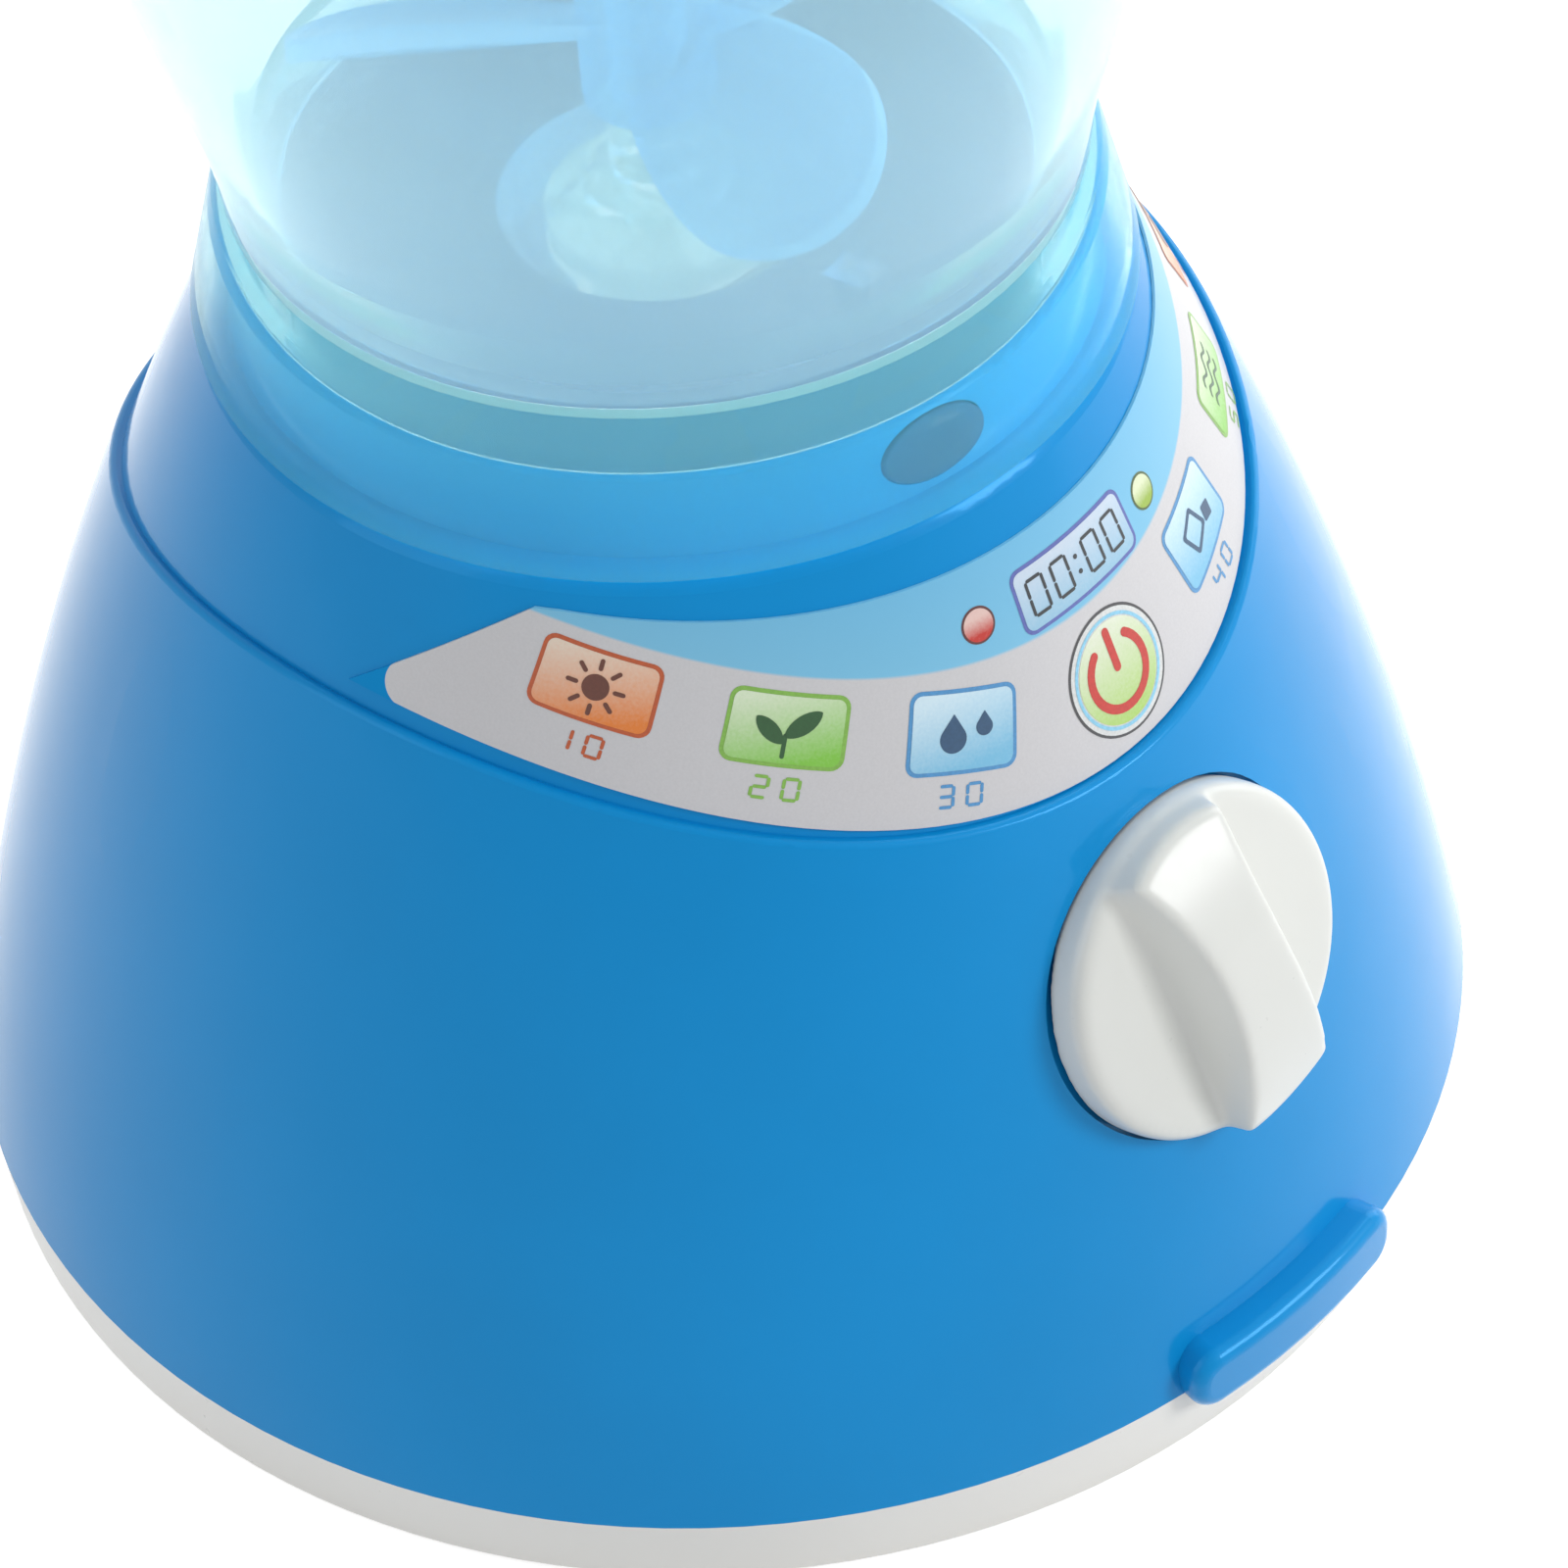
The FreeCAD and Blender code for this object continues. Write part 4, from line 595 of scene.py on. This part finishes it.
for name, phi, z, rim, low, high in (
        ("dot_red", -13.6, 71.5, (0.10, 0.02, 0.02), (0.50, 0.02, 0.01), (0.72, 0.50, 0.45)),
        ("dot_green", 14.2, 71.2, (0.07, 0.12, 0.03), (0.28, 0.42, 0.03), (0.68, 0.74, 0.50))):
    add_print(name + "_rim", [oval(1.42, 1.42)], ink("ink_rim_" + name, rim), phi, z, 0.0, 1)
    add_print(name, [oval(1.24, 1.24)], ink("ink_" + name, low, high, z - 0.7, z + 0.5), phi, z, 0.0, 2)

# Power print: dark ring, white ring, blue ring, graded disc and the power sign
POWER_PHI = 0.8
POWER_Z = 62.7
add_print("power_rim", [oval(5.0, 5.0, steps=64)], ink("ink_rim", (0.05, 0.05, 0.055)),
          POWER_PHI, POWER_Z, 0, 1)
add_print("power_white", [oval(4.78, 4.78, steps=64)], ink("ink_white", (0.70, 0.71, 0.70)),
          POWER_PHI, POWER_Z, 0, 2)
add_print("power_ring", [ring(oval(4.4, 4.4, steps=64), oval(4.12, 4.12, steps=64))],
          ink("ink_sky", (0.26, 0.60, 0.80)), POWER_PHI, POWER_Z, 0, 3)
add_print("power_disc", [oval(4.02, 4.02, steps=64)],
          ink("ink_disc", (0.36, 0.58, 0.10), (0.72, 0.76, 0.62), 58.6, 66.6), POWER_PHI, POWER_Z, 0, 3)
add_print("power_sign", arc_band(2.85, 0.72, 128, 412) + [stroke(0, 0.35, 0, 3.3, 0.72)],
          ink("ink_red", (0.56, 0.03, 0.02)), POWER_PHI, POWER_Z, 0, 4)


# Stage
FLOOR_HALF = 4.0
FLOOR_DROP = 0.0003        # the floor lies this far under the part
FLOOR_GLOW = 0.62
WORLD_LIGHT = 0.5


def seen_rays(tree):
    """One for rays that come straight from the camera, a reflection or a clear piece, else zero."""
    path = tree.nodes.new("ShaderNodeLightPath")
    bent = math_node(tree, "MAXIMUM", path.outputs["Is Glossy Ray"], path.outputs["Is Transmission Ray"])
    return math_node(tree, "MAXIMUM", path.outputs["Is Camera Ray"], bent)


def build_floor():
    """Plain pale floor that shows white."""
    mesh = bpy.data.meshes.new("floor")
    half = FLOOR_HALF
    corners = [(-half, -half, 0), (half, -half, 0), (half, half, 0), (-half, half, 0)]
    mesh.from_pydata(corners, [], [(0, 1, 2, 3)])
    floor = bpy.data.objects.new("floor", mesh)
    floor.location.z = -FLOOR_DROP
    bpy.context.scene.collection.objects.link(floor)
    m, tree, out = new_material("floor_pale")
    shader = tree.nodes.new("ShaderNodeBsdfDiffuse")
    shader.inputs["Color"].default_value = (0.82, 0.82, 0.82, 1)
    glow = tree.nodes.new("ShaderNodeEmission")
    glow.inputs["Strength"].default_value = FLOOR_GLOW
    none = tree.nodes.new("ShaderNodeEmission")
    none.inputs["Strength"].default_value = 0.0
    pick = tree.nodes.new("ShaderNodeMixShader")
    both = tree.nodes.new("ShaderNodeAddShader")
    tree.links.new(seen_rays(tree), pick.inputs[0])
    tree.links.new(none.outputs[0], pick.inputs[1])
    tree.links.new(glow.outputs[0], pick.inputs[2])
    tree.links.new(shader.outputs[0], both.inputs[0])
    tree.links.new(pick.outputs[0], both.inputs[1])
    tree.links.new(both.outputs[0], out.inputs["Surface"])
    mesh.materials.append(m)


def build_world():
    """Soft even light, seen as white."""
    world = bpy.data.worlds.new("studio")
    bpy.context.scene.world = world
    world.use_nodes = True
    tree = world.node_tree
    tree.nodes.clear()
    out = tree.nodes.new("ShaderNodeOutputWorld")
    plain = tree.nodes.new("ShaderNodeBackground")
    plain.inputs["Color"].default_value = (0.95, 0.97, 1.0, 1)
    plain.inputs["Strength"].default_value = WORLD_LIGHT
    bright = tree.nodes.new("ShaderNodeBackground")
    bright.inputs["Color"].default_value = (1, 1, 1, 1)
    bright.inputs["Strength"].default_value = 1.0
    pick = tree.nodes.new("ShaderNodeMixShader")
    tree.links.new(seen_rays(tree), pick.inputs[0])
    tree.links.new(plain.outputs[0], pick.inputs[1])
    tree.links.new(bright.outputs[0], pick.inputs[2])
    tree.links.new(pick.outputs[0], out.inputs["Surface"])


def area_light(name, where, width, height, power):
    """Rectangular lamp aimed at the middle of the base."""
    data = bpy.data.lights.new(name, "AREA")
    data.energy = power
    data.shape = "RECTANGLE"
    data.size = width
    data.size_y = height
    obj = bpy.data.objects.new(name, data)
    obj.location = where
    obj.rotation_euler = (Vector(LAMP_AIM) - Vector(where)).to_track_quat("-Z", "Y").to_euler()
    bpy.context.scene.collection.objects.link(obj)


# Camera of the photograph, fitted to it: angles in degrees, distances in metres
CAMERA_DOWN = 44.52
CAMERA_ROLL = -4.51
CAMERA_YAW = 0.64
CAMERA_BACK = 0.39384
CAMERA_HIGH = 0.40572 + SEAM_Z * MM
CAMERA_ROUND = 45.4        # how far the camera stands round from the part's front
CAMERA_LENS = 160.245
CAMERA_SENSOR = 36.0

# Lamps: name, place, width, height, power
LAMP_AIM = (0, 0, 0.06)
LAMPS = (("key", (0.35, -0.7, 0.45), 0.3, 0.3, 3.6),
         ("left", (-0.75, 0.25, 0.5), 0.5, 0.8, 1.8),
         ("right", (0.75, -0.1, 0.45), 0.5, 0.8, 3.2))


def build_camera():
    """Camera at its place and aim in the view's own frame, turned to the part's front."""
    down, roll, yaw = math.radians(CAMERA_DOWN), math.radians(CAMERA_ROLL), math.radians(CAMERA_YAW)
    aim = Vector((0, math.cos(down), -math.sin(down)))
    right = Vector((1, 0, 0))
    up = right.cross(aim)
    aim, right = (math.cos(yaw) * aim + math.sin(yaw) * right, math.cos(yaw) * right - math.sin(yaw) * aim)
    right, up = (math.cos(roll) * right + math.sin(roll) * up, math.cos(roll) * up - math.sin(roll) * right)
    spin = Matrix.Rotation(-math.radians(CAMERA_ROUND), 3, "Z")
    turn = Matrix((spin @ right, spin @ up, spin @ -aim)).transposed()
    data = bpy.data.cameras.new("photo")
    data.sensor_width = CAMERA_SENSOR
    data.lens = CAMERA_LENS
    data.clip_start = 0.01
    obj = bpy.data.objects.new("photo", data)
    obj.matrix_world = Matrix.Translation(spin @ Vector((0, -CAMERA_BACK, CAMERA_HIGH))) @ turn.to_4x4()
    bpy.context.scene.collection.objects.link(obj)
    bpy.context.scene.camera = obj


build_floor()
build_world()
build_camera()
for lamp in LAMPS:
    area_light(*lamp)

scene = bpy.context.scene
scene.view_settings.view_transform = "Standard"
